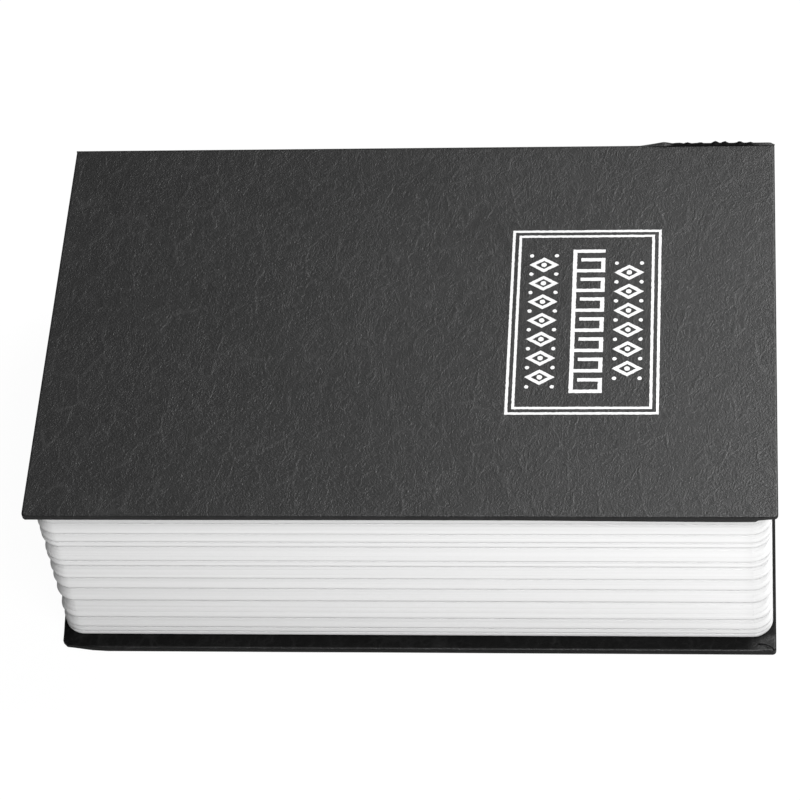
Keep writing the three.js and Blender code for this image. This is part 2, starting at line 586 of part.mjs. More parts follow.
function buildLock() {
  const flangeProfile = [
    [0, lidTop],
    [LOCK_FLANGE_RADIUS, lidTop],
    [LOCK_FLANGE_RADIUS, lockFace - LOCK_FLANGE_CHAMFER],
    [LOCK_FLANGE_RADIUS - LOCK_FLANGE_CHAMFER, lockFace],
    [0, lockFace],
  ];
  const body = doubleD(0, lockBodyEnd, lidTop + LOCK_FLANGE / 2);
  const bore = disc(PLUG_RADIUS + PLUG_CLEARANCE, lockBodyEnd - PAST, lockFace + PAST);
  const headSeat = lockFace - PLUG_HEAD - PLUG_CLEARANCE;
  const headSpace = disc(PLUG_HEAD_RADIUS + PLUG_CLEARANCE, headSeat, lockFace + PAST);
  const housing = cut(join(solid(turned(flangeProfile)), body), solid(bore), solid(headSpace));
  addPiece(lock, "lock_housing", geometryOf(housing), finish.chrome);

  const steps = Array.from({ length: 2 * WASHER_TEETH }, (_, i) => i);
  const toothed = polygon(
    steps.map((i) => {
      const angle = (i * Math.PI) / WASHER_TEETH;
      const radius = WASHER_RADIUS - (i % 2 ? 0 : WASHER_TOOTH);
      return [radius * Math.cos(angle), radius * Math.sin(angle)];
    }),
  );
  const washer = cut(solid(raised(toothed, washerUnder, lidUnder)), doubleD(LOCK_FIT, washerUnder - PAST, lidTop));
  addPiece(lock, "lock_washer", geometryOf(washer), finish.zinc);

  const hexagon = disc(NUT_ACROSS / Math.sqrt(3), nutUnder, washerUnder, 6);
  const nutHole = disc(LOCK_BODY_RADIUS + LOCK_FIT, nutUnder - PAST, washerUnder + PAST);
  addPiece(lock, "lock_nut", geometryOf(cut(solid(hexagon), solid(nutHole))), finish.zinc);

  // The plug's head fills the flange's recess, and its square tail carries the cam.
  const plugFoot = lockBodyEnd - CAM_GAP / 2;
  const plugProfile = [
    [0, plugFoot],
    [PLUG_RADIUS, plugFoot],
    [PLUG_RADIUS, lockFace - PLUG_HEAD],
    [PLUG_HEAD_RADIUS, lockFace - PLUG_HEAD],
    [PLUG_HEAD_RADIUS, lockFace - PLUG_CHAMFER],
    [PLUG_HEAD_RADIUS - PLUG_CHAMFER, lockFace],
    [0, lockFace],
  ];
  const half = TAIL_SIDE / 2;
  const tailEnd = camUnder + TAIL_SHORTFALL;
  const tail = block(bothWays(half), bothWays(half), [tailEnd, lockBodyEnd]);
  const keyDepth = [lockFace - KEYWAY_DEPTH, lockFace + PAST];
  const keyway = block(bothWays(KEYWAY_WIDTH / 2), bothWays(KEYWAY_LENGTH / 2), keyDepth);
  const ward = block([0, KEYWAY_WIDTH / 2 + KEYWAY_WARD], bothWays(KEYWAY_LENGTH / 6), keyDepth);
  const screwHole = disc(screwHoleRadius, tailEnd - PAST, screwTop + SCREW_FIT, 16);
  const plug = cut(join(solid(turned(plugProfile)), tail), keyway, ward, solid(screwHole));
  addPiece(plugAndCam, "lock_plug", geometryOf(plug), finish.chrome);

  // The cam points to the book's head while the lock is open.
  const camHalf = CAM_WIDTH / 2;
  const tipHalf = camHalf * 0.8;
  const tipX = CAM_REACH - CAM_TIP_RADIUS;
  const camPlan = new THREE.Shape();
  camPlan.absarc(0, 0, camHalf, Math.PI / 2, 1.5 * Math.PI);
  camPlan.absarc(tipX, CAM_TIP_RADIUS - tipHalf, CAM_TIP_RADIUS, -Math.PI / 2, 0);
  camPlan.absarc(tipX, tipHalf - CAM_TIP_RADIUS, CAM_TIP_RADIUS, 0, Math.PI / 2);
  const squareHole = block(bothWays(half + CAM_FIT), bothWays(half + CAM_FIT), [camUnder - PAST, camTop + PAST]);
  const cam = cut(solid(raised(camPlan, camUnder, camTop)), squareHole);
  addPiece(plugAndCam, "lock_cam", geometryOf(cam), finish.zinc);

  const camWasher = solid(disc(CAM_WASHER_RADIUS, camWasherUnder, camUnder, 24));
  const camWasherHole = solid(disc(screwHoleRadius, camWasherUnder - PAST, camUnder + PAST, 16));
  addPiece(plugAndCam, "cam_washer", geometryOf(cut(camWasher, camWasherHole)), finish.zinc);

  const headFoot = camWasherUnder - SCREW_HEAD;
  const screwProfile = [
    [0, headFoot],
    [SCREW_HEAD_RADIUS * 0.7, headFoot],
    [SCREW_HEAD_RADIUS, headFoot + SCREW_HEAD / 2],
    [SCREW_HEAD_RADIUS, camWasherUnder],
    [SCREW_SHANK, camWasherUnder],
    [SCREW_SHANK, screwTop],
    [0, screwTop],
  ];
  const slotReach = SCREW_HEAD_RADIUS * 0.55;
  const slotZ = [headFoot - PAST, headFoot + SCREW_HEAD * 0.6];
  const crossSlot = join(
    block(bothWays(slotReach), bothWays(SCREW_SLOT / 2), slotZ),
    block(bothWays(SCREW_SLOT / 2), bothWays(slotReach), slotZ),
  );
  addPiece(plugAndCam, "cam_screw", geometryOf(cut(solid(turned(screwProfile, 16)), crossSlot)), finish.zinc);
}

buildCase();
buildFrontCover();
buildPageBlock();
buildSteelBox();
buildHinge();
buildLid();
buildLock();

export default book;
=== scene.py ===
# %% [markdown]
# # A book that is a safe
#
# This lesson dresses a hollow book with a small locking steel box inside. The CAD model already has the
# right places and joints, so it comes in first as a fixed frame. Each step then makes one piece or one
# finish of the real object. Lengths are in metres, as Blender has them, and MM turns a plain millimetre
# value into one.

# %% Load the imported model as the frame
import math

import bmesh
import bpy
from mathutils import Matrix, Vector, noise


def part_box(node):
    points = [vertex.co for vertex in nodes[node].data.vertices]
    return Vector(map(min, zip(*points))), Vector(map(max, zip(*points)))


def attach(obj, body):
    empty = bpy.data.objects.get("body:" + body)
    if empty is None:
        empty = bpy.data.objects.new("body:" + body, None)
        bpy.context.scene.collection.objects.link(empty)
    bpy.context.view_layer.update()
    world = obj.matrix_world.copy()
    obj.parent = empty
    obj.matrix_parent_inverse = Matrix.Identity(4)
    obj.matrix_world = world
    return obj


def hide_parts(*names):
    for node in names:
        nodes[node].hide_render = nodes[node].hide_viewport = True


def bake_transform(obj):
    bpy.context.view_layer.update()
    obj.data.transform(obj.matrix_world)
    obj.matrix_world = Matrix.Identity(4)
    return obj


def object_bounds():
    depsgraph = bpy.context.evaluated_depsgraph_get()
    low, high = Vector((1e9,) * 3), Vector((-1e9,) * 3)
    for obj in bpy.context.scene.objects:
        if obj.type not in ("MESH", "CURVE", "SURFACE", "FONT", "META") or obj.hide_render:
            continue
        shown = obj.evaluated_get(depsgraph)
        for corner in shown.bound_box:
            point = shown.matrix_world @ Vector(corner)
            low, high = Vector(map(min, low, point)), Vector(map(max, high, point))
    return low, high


MM = 0.001
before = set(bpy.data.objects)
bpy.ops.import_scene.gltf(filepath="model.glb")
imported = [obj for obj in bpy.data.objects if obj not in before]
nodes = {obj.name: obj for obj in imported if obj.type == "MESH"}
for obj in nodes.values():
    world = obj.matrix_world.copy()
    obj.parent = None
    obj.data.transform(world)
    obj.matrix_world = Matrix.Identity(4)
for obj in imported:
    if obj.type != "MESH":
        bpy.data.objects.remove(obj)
cad_low, cad_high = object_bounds()
frame_size = [round((high - low) / MM, 1) for low, high in zip(cad_low, cad_high)]
print("frame:", len(nodes), "nodes,", frame_size, "mm")

# %% [markdown]
# ## Camera
#
# The photograph looks down on the closed book from above its fore edge, through a long lens. The far edge of
# the cover is shorter than the near one by about a thirteenth, and that fixes how far away the camera
# stands.

# %% Camera
CAMERA_PLACE = Vector((0.08093, -0.50941, 0.70481))
CAMERA_TURN = [math.radians(angle) for angle in (37.084, 4.693, 3.396)]
LENS = 150.53

camera = bpy.data.objects.new("camera", bpy.data.cameras.new("camera"))
camera.location = CAMERA_PLACE
camera.rotation_euler = CAMERA_TURN
camera.data.lens = LENS
camera.data.sensor_width = 36
bpy.context.scene.collection.objects.link(camera)
bpy.context.scene.camera = camera
print("camera: lens", LENS, "mm,", round(CAMERA_PLACE.length, 2), "m away")

# %% [markdown]
# ## Shader nodes in short
#
# Every material below is a small tree of nodes. A few helpers keep the trees readable: the first adds a node
# and fills or links its inputs, and the others use it for arithmetic, noise, mixing and bump.


# %% Helpers for node trees
def add_node(tree, kind, inputs=None, **settings):
    node = tree.nodes.new(kind)
    for name, value in settings.items():
        setattr(node, name, value)
    for name, value in (inputs or {}).items():
        if isinstance(value, bpy.types.NodeSocket):
            tree.links.new(value, node.inputs[name])
        else:
            node.inputs[name].default_value = value
    return node


def maths(tree, operation, first, second=0.0, third=0.0):
    inputs = {0: first, 1: second, 2: third}
    return add_node(tree, "ShaderNodeMath", inputs, operation=operation).outputs[0]


def one_minus(tree, value):
    return maths(tree, "SUBTRACT", 1.0, value)


def vector_maths(tree, operation, first, second):
    return add_node(tree, "ShaderNodeVectorMath", {0: first, 1: second}, operation=operation).outputs[0]


def noise_value(tree, place, scale=1.0, detail=2.0, roughness=0.5):
    inputs = {"Vector": place, "Scale": scale, "Detail": detail, "Roughness": roughness}
    return add_node(tree, "ShaderNodeTexNoise", inputs).outputs[0]


def remap(tree, value, from_low, from_high, to_low=0.0, to_high=1.0):
    inputs = {"Value": value, "From Min": from_low, "From Max": from_high}
    inputs.update({"To Min": to_low, "To Max": to_high})
    return add_node(tree, "ShaderNodeMapRange", inputs, interpolation_type="SMOOTHSTEP").outputs[0]


def mix_colours(tree, share, first, second):
    """The mix node has sockets for each kind of value. Those for colours are inputs 6 and 7 and output 2."""
    return add_node(tree, "ShaderNodeMix", {0: share, 6: first, 7: second}, data_type="RGBA").outputs[2]


def grey(level, warmth=0.0):
    return (level * (1 + warmth), level, level * (1 - warmth), 1)


def new_material(name, roughness=0.5, metallic=0.0, **shader_values):
    material = bpy.data.materials.new(name)
    material.use_nodes = True
    tree = material.node_tree
    shader = tree.nodes["Principled BSDF"]
    shader.inputs["Roughness"].default_value = roughness
    shader.inputs["Metallic"].default_value = metallic
    for socket, value in shader_values.items():
        shader.inputs[socket].default_value = value
    place = add_node(tree, "ShaderNodeTexCoord").outputs["Object"]
    return material, tree, shader, place


def new_group(name, inputs, outputs):
    group = bpy.data.node_groups.new(name, "ShaderNodeTree")
    for socket_name, kind, start in inputs:
        socket = group.interface.new_socket(socket_name, in_out="INPUT", socket_type=kind)
        if start is not None:
            socket.default_value = start
    for socket_name, kind in outputs:
        group.interface.new_socket(socket_name, in_out="OUTPUT", socket_type=kind)
    entry = group.nodes.new("NodeGroupInput")
    leave = group.nodes.new("NodeGroupOutput")
    return group, entry.outputs, leave.inputs


def use_group(tree, group, inputs):
    return add_node(tree, "ShaderNodeGroup", inputs, node_tree=group).outputs


def bump(tree, shader, height, distance, strength=1.0):
    inputs = {"Height": height, "Distance": distance, "Strength": strength}
    normal = add_node(tree, "ShaderNodeBump", inputs).outputs[0]
    tree.links.new(normal, shader.inputs["Normal"])


print("helpers for node trees: ready")

# %% [markdown]
# ## Floor and light
#
# The photograph has a pure white ground. A floor that glows white for the camera's rays gives that, and
# keeps a little of the book's soft shadow. To all other rays it is grey paper, so that little light comes up
# from it. The sheen lamp stands high behind the book to the right: the cover mirrors it more and more
# towards that side. The page lamp, in front, lights the pages steeply from above, so that each sheaf throws
# a shadow on the next. A weak back lamp adds a low sheen and keeps the spine from going black.

# %% Floor, world and lamps
FLOOR_HALF = 3.0
FLOOR_GREY = 0.25
FLOOR_GLOW = 0.97
WORLD_LIGHT = 0.085
AIM = Vector((0, 0, 0.03))


def seen_rays(tree):
    """1 for rays from the camera or through glass, 0 for light on the book."""
    rays = add_node(tree, "ShaderNodeLightPath").outputs
    return maths(tree, "MAXIMUM", rays["Is Camera Ray"], rays["Is Transmission Ray"])


bm = bmesh.new()
bmesh.ops.create_grid(bm, x_segments=1, y_segments=1, size=FLOOR_HALF)
floor_mesh = bpy.data.meshes.new("floor")
bm.to_mesh(floor_mesh)
bm.free()
floor = bpy.data.objects.new("floor", floor_mesh)
bpy.context.scene.collection.objects.link(floor)

floor_paint = bpy.data.materials.new("floor paper")
floor_paint.use_nodes = True
tree = floor_paint.node_tree
tree.nodes.clear()
seen = seen_rays(tree)
paper_colour = mix_colours(tree, seen, grey(FLOOR_GREY), grey(1.0))
paper = add_node(tree, "ShaderNodeBsdfDiffuse", {"Color": paper_colour}).outputs[0]
glow = add_node(tree, "ShaderNodeEmission", {"Color": grey(1.0), "Strength": 1.0}).outputs[0]
glowing = maths(tree, "MULTIPLY", seen, FLOOR_GLOW)
shown = add_node(tree, "ShaderNodeMixShader", {0: glowing, 1: paper, 2: glow}).outputs[0]
add_node(tree, "ShaderNodeOutputMaterial", {"Surface": shown})
floor_mesh.materials.append(floor_paint)

world = bpy.data.worlds.new("studio")
bpy.context.scene.world = world
world.use_nodes = True
tree = world.node_tree
tree.nodes.clear()
dim = add_node(tree, "ShaderNodeBackground", {"Color": grey(1.0), "Strength": WORLD_LIGHT}).outputs[0]
white = add_node(tree, "ShaderNodeBackground", {"Color": grey(1.0), "Strength": 1.0}).outputs[0]
shown = add_node(tree, "ShaderNodeMixShader", {0: seen_rays(tree), 1: dim, 2: white}).outputs[0]
add_node(tree, "ShaderNodeOutputWorld", {"Surface": shown})

LAMPS = {
    "sheen lamp": {"place": (0.60, 0.54, 1.24), "size": 0.55, "power": 28.5},
    "page lamp": {"place": (0.215, -0.367, 0.50), "size": 0.31, "power": 5.2},
    "back lamp": {"place": (0.5, 1.3, 0.45), "size": 0.9, "power": 4.0},
}
for name, lamp in LAMPS.items():
    light = bpy.data.lights.new(name, "AREA")
    light.size = lamp["size"]
    light.energy = lamp["power"]
    holder = bpy.data.objects.new(name, light)
    holder.location = lamp["place"]
    holder.rotation_euler = (AIM - holder.location).to_track_quat("-Z", "Y").to_euler()
    holder.visible_camera = False
    bpy.context.scene.collection.objects.link(holder)
bpy.context.scene.view_settings.view_transform = "Standard"
print("floor and", len(LAMPS), "lamps: ready")

# %% [markdown]
# ## Leatherette
#
# The book is covered in black leatherette: paper with a plastic film, embossed with a fine ripple, small
# curls and bunches of long thin veins. A stretched noise gives a vein wherever it crosses its middle value,
# and a coarser noise chooses where each set of veins shows. Cell borders give the creases that branch. The
# grain is a group with named inputs, and three leatherette materials use it: one for most of the book, one
# for the torn strip and one for the back cover. The foil borrows its height.

# %% Parts of the grain
# How far a bunch of veins and a fading crease spread: cells per metre along X, Y and Z
BUNCH_CELLS = (190.0, 80.0, 190.0)
FADE_CELLS = (210.0, 150.0, 210.0)


def turn_about_z(tree, place, angle):
    inputs = {"Vector": place, "Angle": angle}
    return add_node(tree, "ShaderNodeVectorRotate", inputs, rotation_type="Z_AXIS").outputs[0]


def stretched_place(tree, place, stretch, shift):
    return vector_maths(tree, "ADD", vector_maths(tree, "MULTIPLY", place, stretch), shift)


def middle_lines(tree, value, width):
    """1 where a noise crosses its middle value, and 0 further off than the width."""
    off_middle = maths(tree, "ABSOLUTE", maths(tree, "SUBTRACT", value, 0.5))
    return one_minus(tree, remap(tree, off_middle, 0.0, width))


def vein_set(tree, place, across, along, width, turn, seed):
    """Thin lines in bunches. They run along Y, turned about Z by an angle."""
    turned = turn_about_z(tree, place, turn)
    fine = maths(tree, "DIVIDE", 1.0, across)
    slow = maths(tree, "DIVIDE", 1.0, along)
    scale = add_node(tree, "ShaderNodeCombineXYZ", {0: fine, 1: slow, 2: fine}).outputs[0]
    spread = stretched_place(tree, turned, scale, (seed, seed * 2.3, seed * 0.7))
    vein = middle_lines(tree, noise_value(tree, spread, detail=1.0), width)
    area = stretched_place(tree, turned, BUNCH_CELLS, (seed * 3.1, seed, 0.0))
    bunch = noise_value(tree, area, roughness=0.6)
    return maths(tree, "MULTIPLY", vein, remap(tree, bunch, 0.46, 0.62))


def crease_set(tree, place, cells, width, turn, seed):
    """Branching creases: the borders between stretched cells, faded in and out by a coarse noise."""
    spread = stretched_place(tree, turn_about_z(tree, place, turn), cells, (seed, seed * 1.7, seed * 0.3))
    inputs = {"Vector": spread, "Scale": 1.0}
    border = add_node(tree, "ShaderNodeTexVoronoi", inputs, feature="DISTANCE_TO_EDGE")
    line = one_minus(tree, remap(tree, border.outputs["Distance"], 0.0, width))
    area = stretched_place(tree, place, FADE_CELLS, (seed, seed, seed))
    return maths(tree, "MULTIPLY", line, remap(tree, noise_value(tree, area), 0.38, 0.66))


print("parts of the grain: veins and creases")

# %% Group for the embossed grain
SWAY = 2.4 * MM
SWAY_SCALE = 330.0
DOWN_VEINS = {"turn": 0.06, "seed": 3.0}
SLANTING_VEINS = {"turn": 0.8, "seed": 23.0}
WIDE_CREASES = {"cells": (150.0, 75.0, 150.0), "width": 0.075, "turn": 0.1, "seed": 5.0}
CLOSE_CREASES = {"cells": (330.0, 170.0, 330.0), "width": 0.08, "turn": 0.5, "seed": 17.0}
CURL_CELLS = (500.0, 640.0, 640.0)
RIPPLE_CELLS = (2000.0, 2700.0, 2700.0)
PORE_SCALE = 3000.0
MOTTLE_SCALE = 55.0
# How high each kind stands beside the others
VEIN_SHARE = 0.55
CLOSE_SHARE = 0.6
LINES_HIGH = 0.3
CURLS_HIGH = 0.13
PORES_HIGH = 0.45

group, entry, leave = new_group(
    "embossed grain",
    [
        ("Place", "NodeSocketVector", None),
        ("Vein Gap", "NodeSocketFloat", 1.5 * MM),
        ("Vein Length", "NodeSocketFloat", 10 * MM),
        ("Vein Width", "NodeSocketFloat", 0.04),
    ],
    [("Veins", "NodeSocketFloat"), ("Height", "NodeSocketFloat"), ("Mottle", "NodeSocketFloat")],
)
grain_group = group
wander = add_node(group, "ShaderNodeTexNoise", {"Vector": entry["Place"], "Scale": SWAY_SCALE, "Detail": 2.0})
sway = vector_maths(group, "SUBTRACT", wander.outputs["Color"], (0.5, 0.5, 0.5))
sway = vector_maths(group, "MULTIPLY", sway, (SWAY, SWAY, SWAY))
swayed = vector_maths(group, "ADD", entry["Place"], sway)
gap, length, width = entry["Vein Gap"], entry["Vein Length"], entry["Vein Width"]
down = vein_set(group, swayed, gap, length, width, **DOWN_VEINS)
slanting = vein_set(group, swayed, gap, maths(group, "MULTIPLY", length, 0.5), width, **SLANTING_VEINS)
wide = crease_set(group, swayed, **WIDE_CREASES)
close = crease_set(group, swayed, **CLOSE_CREASES)
creases = maths(group, "MAXIMUM", wide, maths(group, "MULTIPLY", close, CLOSE_SHARE))
veins = maths(group, "MULTIPLY", maths(group, "MAXIMUM", down, slanting), VEIN_SHARE)
veins = maths(group, "MAXIMUM", veins, creases)
curl_place = vector_maths(group, "MULTIPLY", swayed, CURL_CELLS)
curls = middle_lines(group, noise_value(group, curl_place, roughness=0.6), 0.05)
ripple = noise_value(group, vector_maths(group, "MULTIPLY", swayed, RIPPLE_CELLS), roughness=0.6)
pores = noise_value(group, entry["Place"], PORE_SCALE, detail=1.0)
mottle = noise_value(group, entry["Place"], MOTTLE_SCALE, detail=4.0)
height = maths(group, "MULTIPLY_ADD", veins, LINES_HIGH, ripple)
height = maths(group, "MULTIPLY_ADD", curls, CURLS_HIGH, height)
height = maths(group, "MULTIPLY_ADD", pores, PORES_HIGH, height)
group.links.new(veins, leave["Veins"])
group.links.new(height, leave["Height"])
group.links.new(mottle, leave["Mottle"])
print("embossed grain:", len(group.nodes), "nodes")

# %% Leatherette materials
FILM_SPECULAR = 0.36
FILM_ROUGHNESS = 0.42
GRAIN_DEPTH = 0.1 * MM
MOTTLE_SHARE = 0.15
# Base colours from the darkest to the lightest part of the grain. The veins and creases
# take the lighter one: a painted highlight on their ridges
FILM_TONES = (0.006, 0.013)
# The back cover's tones are darker than the film's: a painted shade for its ledge under the pages
SHADED_BACK_TONES = (0.003, 0.010)
CORE_AND_SHADE_TONE = 0.003
# Along X, where the torn part of the joint strip starts to be dull and dark, is so, and stops being so.
# Its darkness is its core, with painted shade
TORN_DARK = (61.5 * MM, 64.6 * MM, 84 * MM, 87.5 * MM)
TORN_LOSS = 0.34
# The ledge of the back cover: its heights, its front, and its open corner along X and Y
LEDGE_INSIDE = (1.7 * MM, 1.9 * MM, 3.0 * MM, 3.2 * MM)
LEDGE_DULL = (-58.7 * MM, -58.0 * MM)
LEDGE_ENDS = (82 * MM, 86 * MM)
LEDGE_BACK = (-55.5 * MM, -53.5 * MM)
LEDGE_LOSS = 0.31
CREASE_CENTRE = (86.1 * MM, -60.85 * MM)
CREASE_RADIUS = 4.06 * MM
CREASE_HALF_WIDTH = (0.08 * MM, 0.24 * MM)
CREASE_FROM = (84.6 * MM, 85.8 * MM)
CREASE_DEPTH = 2.5
CREASE_LOSS = 0.9


def ledge_masks(tree, place):
    """The strip of the back cover that the pages shelter, and the curved crease at its near right corner."""
    x, y, z = add_node(tree, "ShaderNodeSeparateXYZ", {"Vector": place}).outputs
    not_above = one_minus(tree, remap(tree, z, *LEDGE_INSIDE[2:]))
    inside = maths(tree, "MULTIPLY", remap(tree, z, *LEDGE_INSIDE[:2]), not_above)
    dull = maths(tree, "MULTIPLY", inside, remap(tree, y, *LEDGE_DULL))
    open_corner = maths(tree, "MULTIPLY", remap(tree, x, *LEDGE_ENDS), remap(tree, y, *LEDGE_BACK, 0.5, 0.0))
    dull = maths(tree, "MULTIPLY", dull, one_minus(tree, open_corner))
    across = maths(tree, "POWER", maths(tree, "SUBTRACT", x, CREASE_CENTRE[0]), 2.0)
    along = maths(tree, "POWER", maths(tree, "SUBTRACT", y, CREASE_CENTRE[1]), 2.0)
    distance = maths(tree, "SQRT", maths(tree, "ADD", across, along))
    off = maths(tree, "ABSOLUTE", maths(tree, "SUBTRACT", distance, CREASE_RADIUS))
    crease = maths(tree, "MULTIPLY", inside, one_minus(tree, remap(tree, off, *CREASE_HALF_WIDTH)))
    crease = maths(tree, "MULTIPLY", crease, remap(tree, x, *CREASE_FROM))
    return dull, crease


def leatherette(name, tones, torn=False, ledge=False):
    """Black leatherette. Where it is torn, it shows its dull fibrous core, darkened further as painted shade.
    """
    film = {"roughness": FILM_ROUGHNESS, "Specular IOR Level": FILM_SPECULAR}
    material, tree, shader, place = new_material(name, **film)
    grain = use_group(tree, grain_group, {"Place": place})
    tone = maths(tree, "MULTIPLY", remap(tree, grain["Mottle"], 0.3, 0.7), MOTTLE_SHARE)
    # Veins and creases are painted lighter: a painted highlight along their ridges
    tone = maths(tree, "MULTIPLY_ADD", grain["Veins"], 1 - MOTTLE_SHARE, tone)
    colour = mix_colours(tree, tone, grey(tones[0]), grey(tones[1]))
    if torn:
        x = add_node(tree, "ShaderNodeSeparateXYZ", {"Vector": place}).outputs[0]
        not_past = one_minus(tree, remap(tree, x, *TORN_DARK[2:]))
        core = maths(tree, "MULTIPLY", remap(tree, x, *TORN_DARK[:2]), not_past)
        # The torn part is darker: its core, and painted shade
        colour = mix_colours(tree, core, colour, grey(CORE_AND_SHADE_TONE))
        sheen = maths(tree, "MULTIPLY_ADD", core, -TORN_LOSS, FILM_SPECULAR)
        tree.links.new(sheen, shader.inputs["Specular IOR Level"])
    height = grain["Height"]
    if ledge:
        dull, crease = ledge_masks(tree, place)
        sheen = maths(tree, "MULTIPLY_ADD", dull, -LEDGE_LOSS, FILM_SPECULAR)
        sheen = maths(tree, "MULTIPLY", sheen, maths(tree, "MULTIPLY_ADD", crease, -CREASE_LOSS, 1.0))
        tree.links.new(sheen, shader.inputs["Specular IOR Level"])
        height = maths(tree, "MULTIPLY_ADD", crease, -CREASE_DEPTH, height)
    tree.links.new(colour, shader.inputs["Base Color"])
    bump(tree, shader, height, GRAIN_DEPTH)
    return material


black_leatherette = leatherette("black leatherette", FILM_TONES)
torn_leatherette = leatherette("torn leatherette", FILM_TONES, torn=True)
# The back cover carries the darker tones: painted shade
back_leatherette = leatherette("back cover leatherette", SHADED_BACK_TONES, ledge=True)
print("leatherette: 3 materials")

# %% [markdown]
# ## Covers
#
# Each cover is a board in a sheet of leatherette that goes round three edges and is folded over inside. The
# fourth edge is the joint. A cube makes the outside: its upright corners and its arrises are bevelled, the
# joint's face and the part between the turned-in strips come out, and a Solidify modifier gives the sheet
# its thickness. Bisecting it every few millimetres first lets it be a little uneven, as glued leatherette
# is. The wear comes from moving its vertices: a loose flap and a thin corner on the front cover, a knocked
# corner on the back cover.

# %% Sizes that the pieces share
SHEET = 0.3 * MM
TURN_IN = 14 * MM
CORNER = 1.0 * MM
ARRIS = 0.45 * MM
FACET = 4 * MM

front_low, front_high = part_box("front_covering")
back_low, back_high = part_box("back_covering")
HALF_LENGTH = front_high.x
FORE_EDGE = front_low.y
JOINT_EDGE = front_high.y
COVER_TOP = front_high.z
COVER_THICK = front_high.z - front_low.z
for low, high in ((front_low, front_high), (back_low, back_high)):
    print("cover:", [round(side / MM, 2) for side in high - low], "mm")


# %% Helpers for pieces
X, Y, Z = 0, 1, 2
NEAR = 0.01 * MM
# Angles in degrees from which an edge is drawn sharp: on sheets and boards, and on moulded or metal pieces
SHEET_SHARP = 35
EDGE_SHARP = 50


def finish_piece(bm, name, body, material, stands_for=(), smooth=True):
    """The bmesh becomes an object that rides on a body and stands for CAD nodes."""
    mesh = bpy.data.meshes.new(name)
    for face in bm.faces:
        face.smooth = smooth
    bm.to_mesh(mesh)
    bm.free()
    mesh.materials.append(material)
    piece = bpy.data.objects.new(name, mesh)
    bpy.context.scene.collection.objects.link(piece)
    if body:
        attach(piece, body)
    if stands_for:
        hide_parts(*stands_for)
    return piece


def cut_along(bm, point, direction):
    everything = bm.verts[:] + bm.edges[:] + bm.faces[:]
    bmesh.ops.bisect_plane(bm, geom=everything, plane_co=point, plane_no=direction)


def cut_at(bm, axis, place):
    point = Vector((0, 0, 0))
    direction = Vector((0, 0, 0))
    point[axis] = place
    direction[axis] = 1
    cut_along(bm, point, direction)


def cut_every(bm, axis, low, high, step):
    count = max(1, round((high - low) / step))
    for i in range(1, count):
        cut_at(bm, axis, low + (high - low) * i / count)


def box_bmesh(low, high):
    bm = bmesh.new()
    bmesh.ops.create_cube(bm, size=1)
    low, high = Vector(low), Vector(high)
    bmesh.ops.scale(bm, vec=high - low, verts=bm.verts)
    bmesh.ops.translate(bm, vec=(low + high) / 2, verts=bm.verts)
    return bm


def round_edges(bm, edges, radius, segments):
    settings = {"offset": radius, "segments": segments, "profile": 0.5, "affect": "EDGES", "material": -1}
    bmesh.ops.bevel(bm, geom=edges, clamp_overlap=True, **settings)


def near(a, b):
    return abs(a - b) < NEAR


def all_near(part, axis, value):
    return all(near(v.co[axis], value) for v in part.verts)


def upright_edges(bm):
    return [e for e in bm.edges if all_near(e, X, e.verts[0].co.x) and all_near(e, Y, e.verts[0].co.y)]


def face_outwards(bm):
    bmesh.ops.recalc_face_normals(bm, faces=bm.faces)


def mark_sharp(bm, angle=SHEET_SHARP, open_edges_smooth=False):
    for e in bm.edges:
        if len(e.link_faces) == 2:
            e.smooth = e.calc_face_angle(0) < math.radians(angle)
        else:
            e.smooth = open_edges_smooth


def smooth_step(value, low, high):
    t = min(max((value - low) / (high - low), 0), 1)
    return t * t * (3 - 2 * t)


def thicken(piece, offset, rim_crease=0):
    """Gives leatherette its thickness, inwards with an offset of -1 and outwards with 1."""
    skin = piece.modifiers.new("sheet thickness", "SOLIDIFY")
    skin.thickness = SHEET
    skin.offset = offset
    skin.edge_crease_rim = rim_crease


print("helpers for pieces: ready")

# %% Leatherette sheet of one cover
FOLD_CUTS = (1.2 * MM, 2.4 * MM, 3.6 * MM, 5.2 * MM)
ARRIS_CUTS = (ARRIS + 0.15 * MM, ARRIS + 0.6 * MM)
FOLD_STEP = 0.1 * MM
PUCKER = 0.2 * MM
PUCKER_REACH = (1 * MM, 6 * MM)
SLOW_RISE = 0.06
QUICK_RISE = 0.025


def in_gap(face):
    """Whether a face lies on the inside of the cover, between its turned-in strips."""
    centre = face.calc_center_median()
    past_strips = abs(centre.x) < HALF_LENGTH - TURN_IN and centre.y > FORE_EDGE + TURN_IN
    return past_strips and near(centre.z, COVER_THICK)


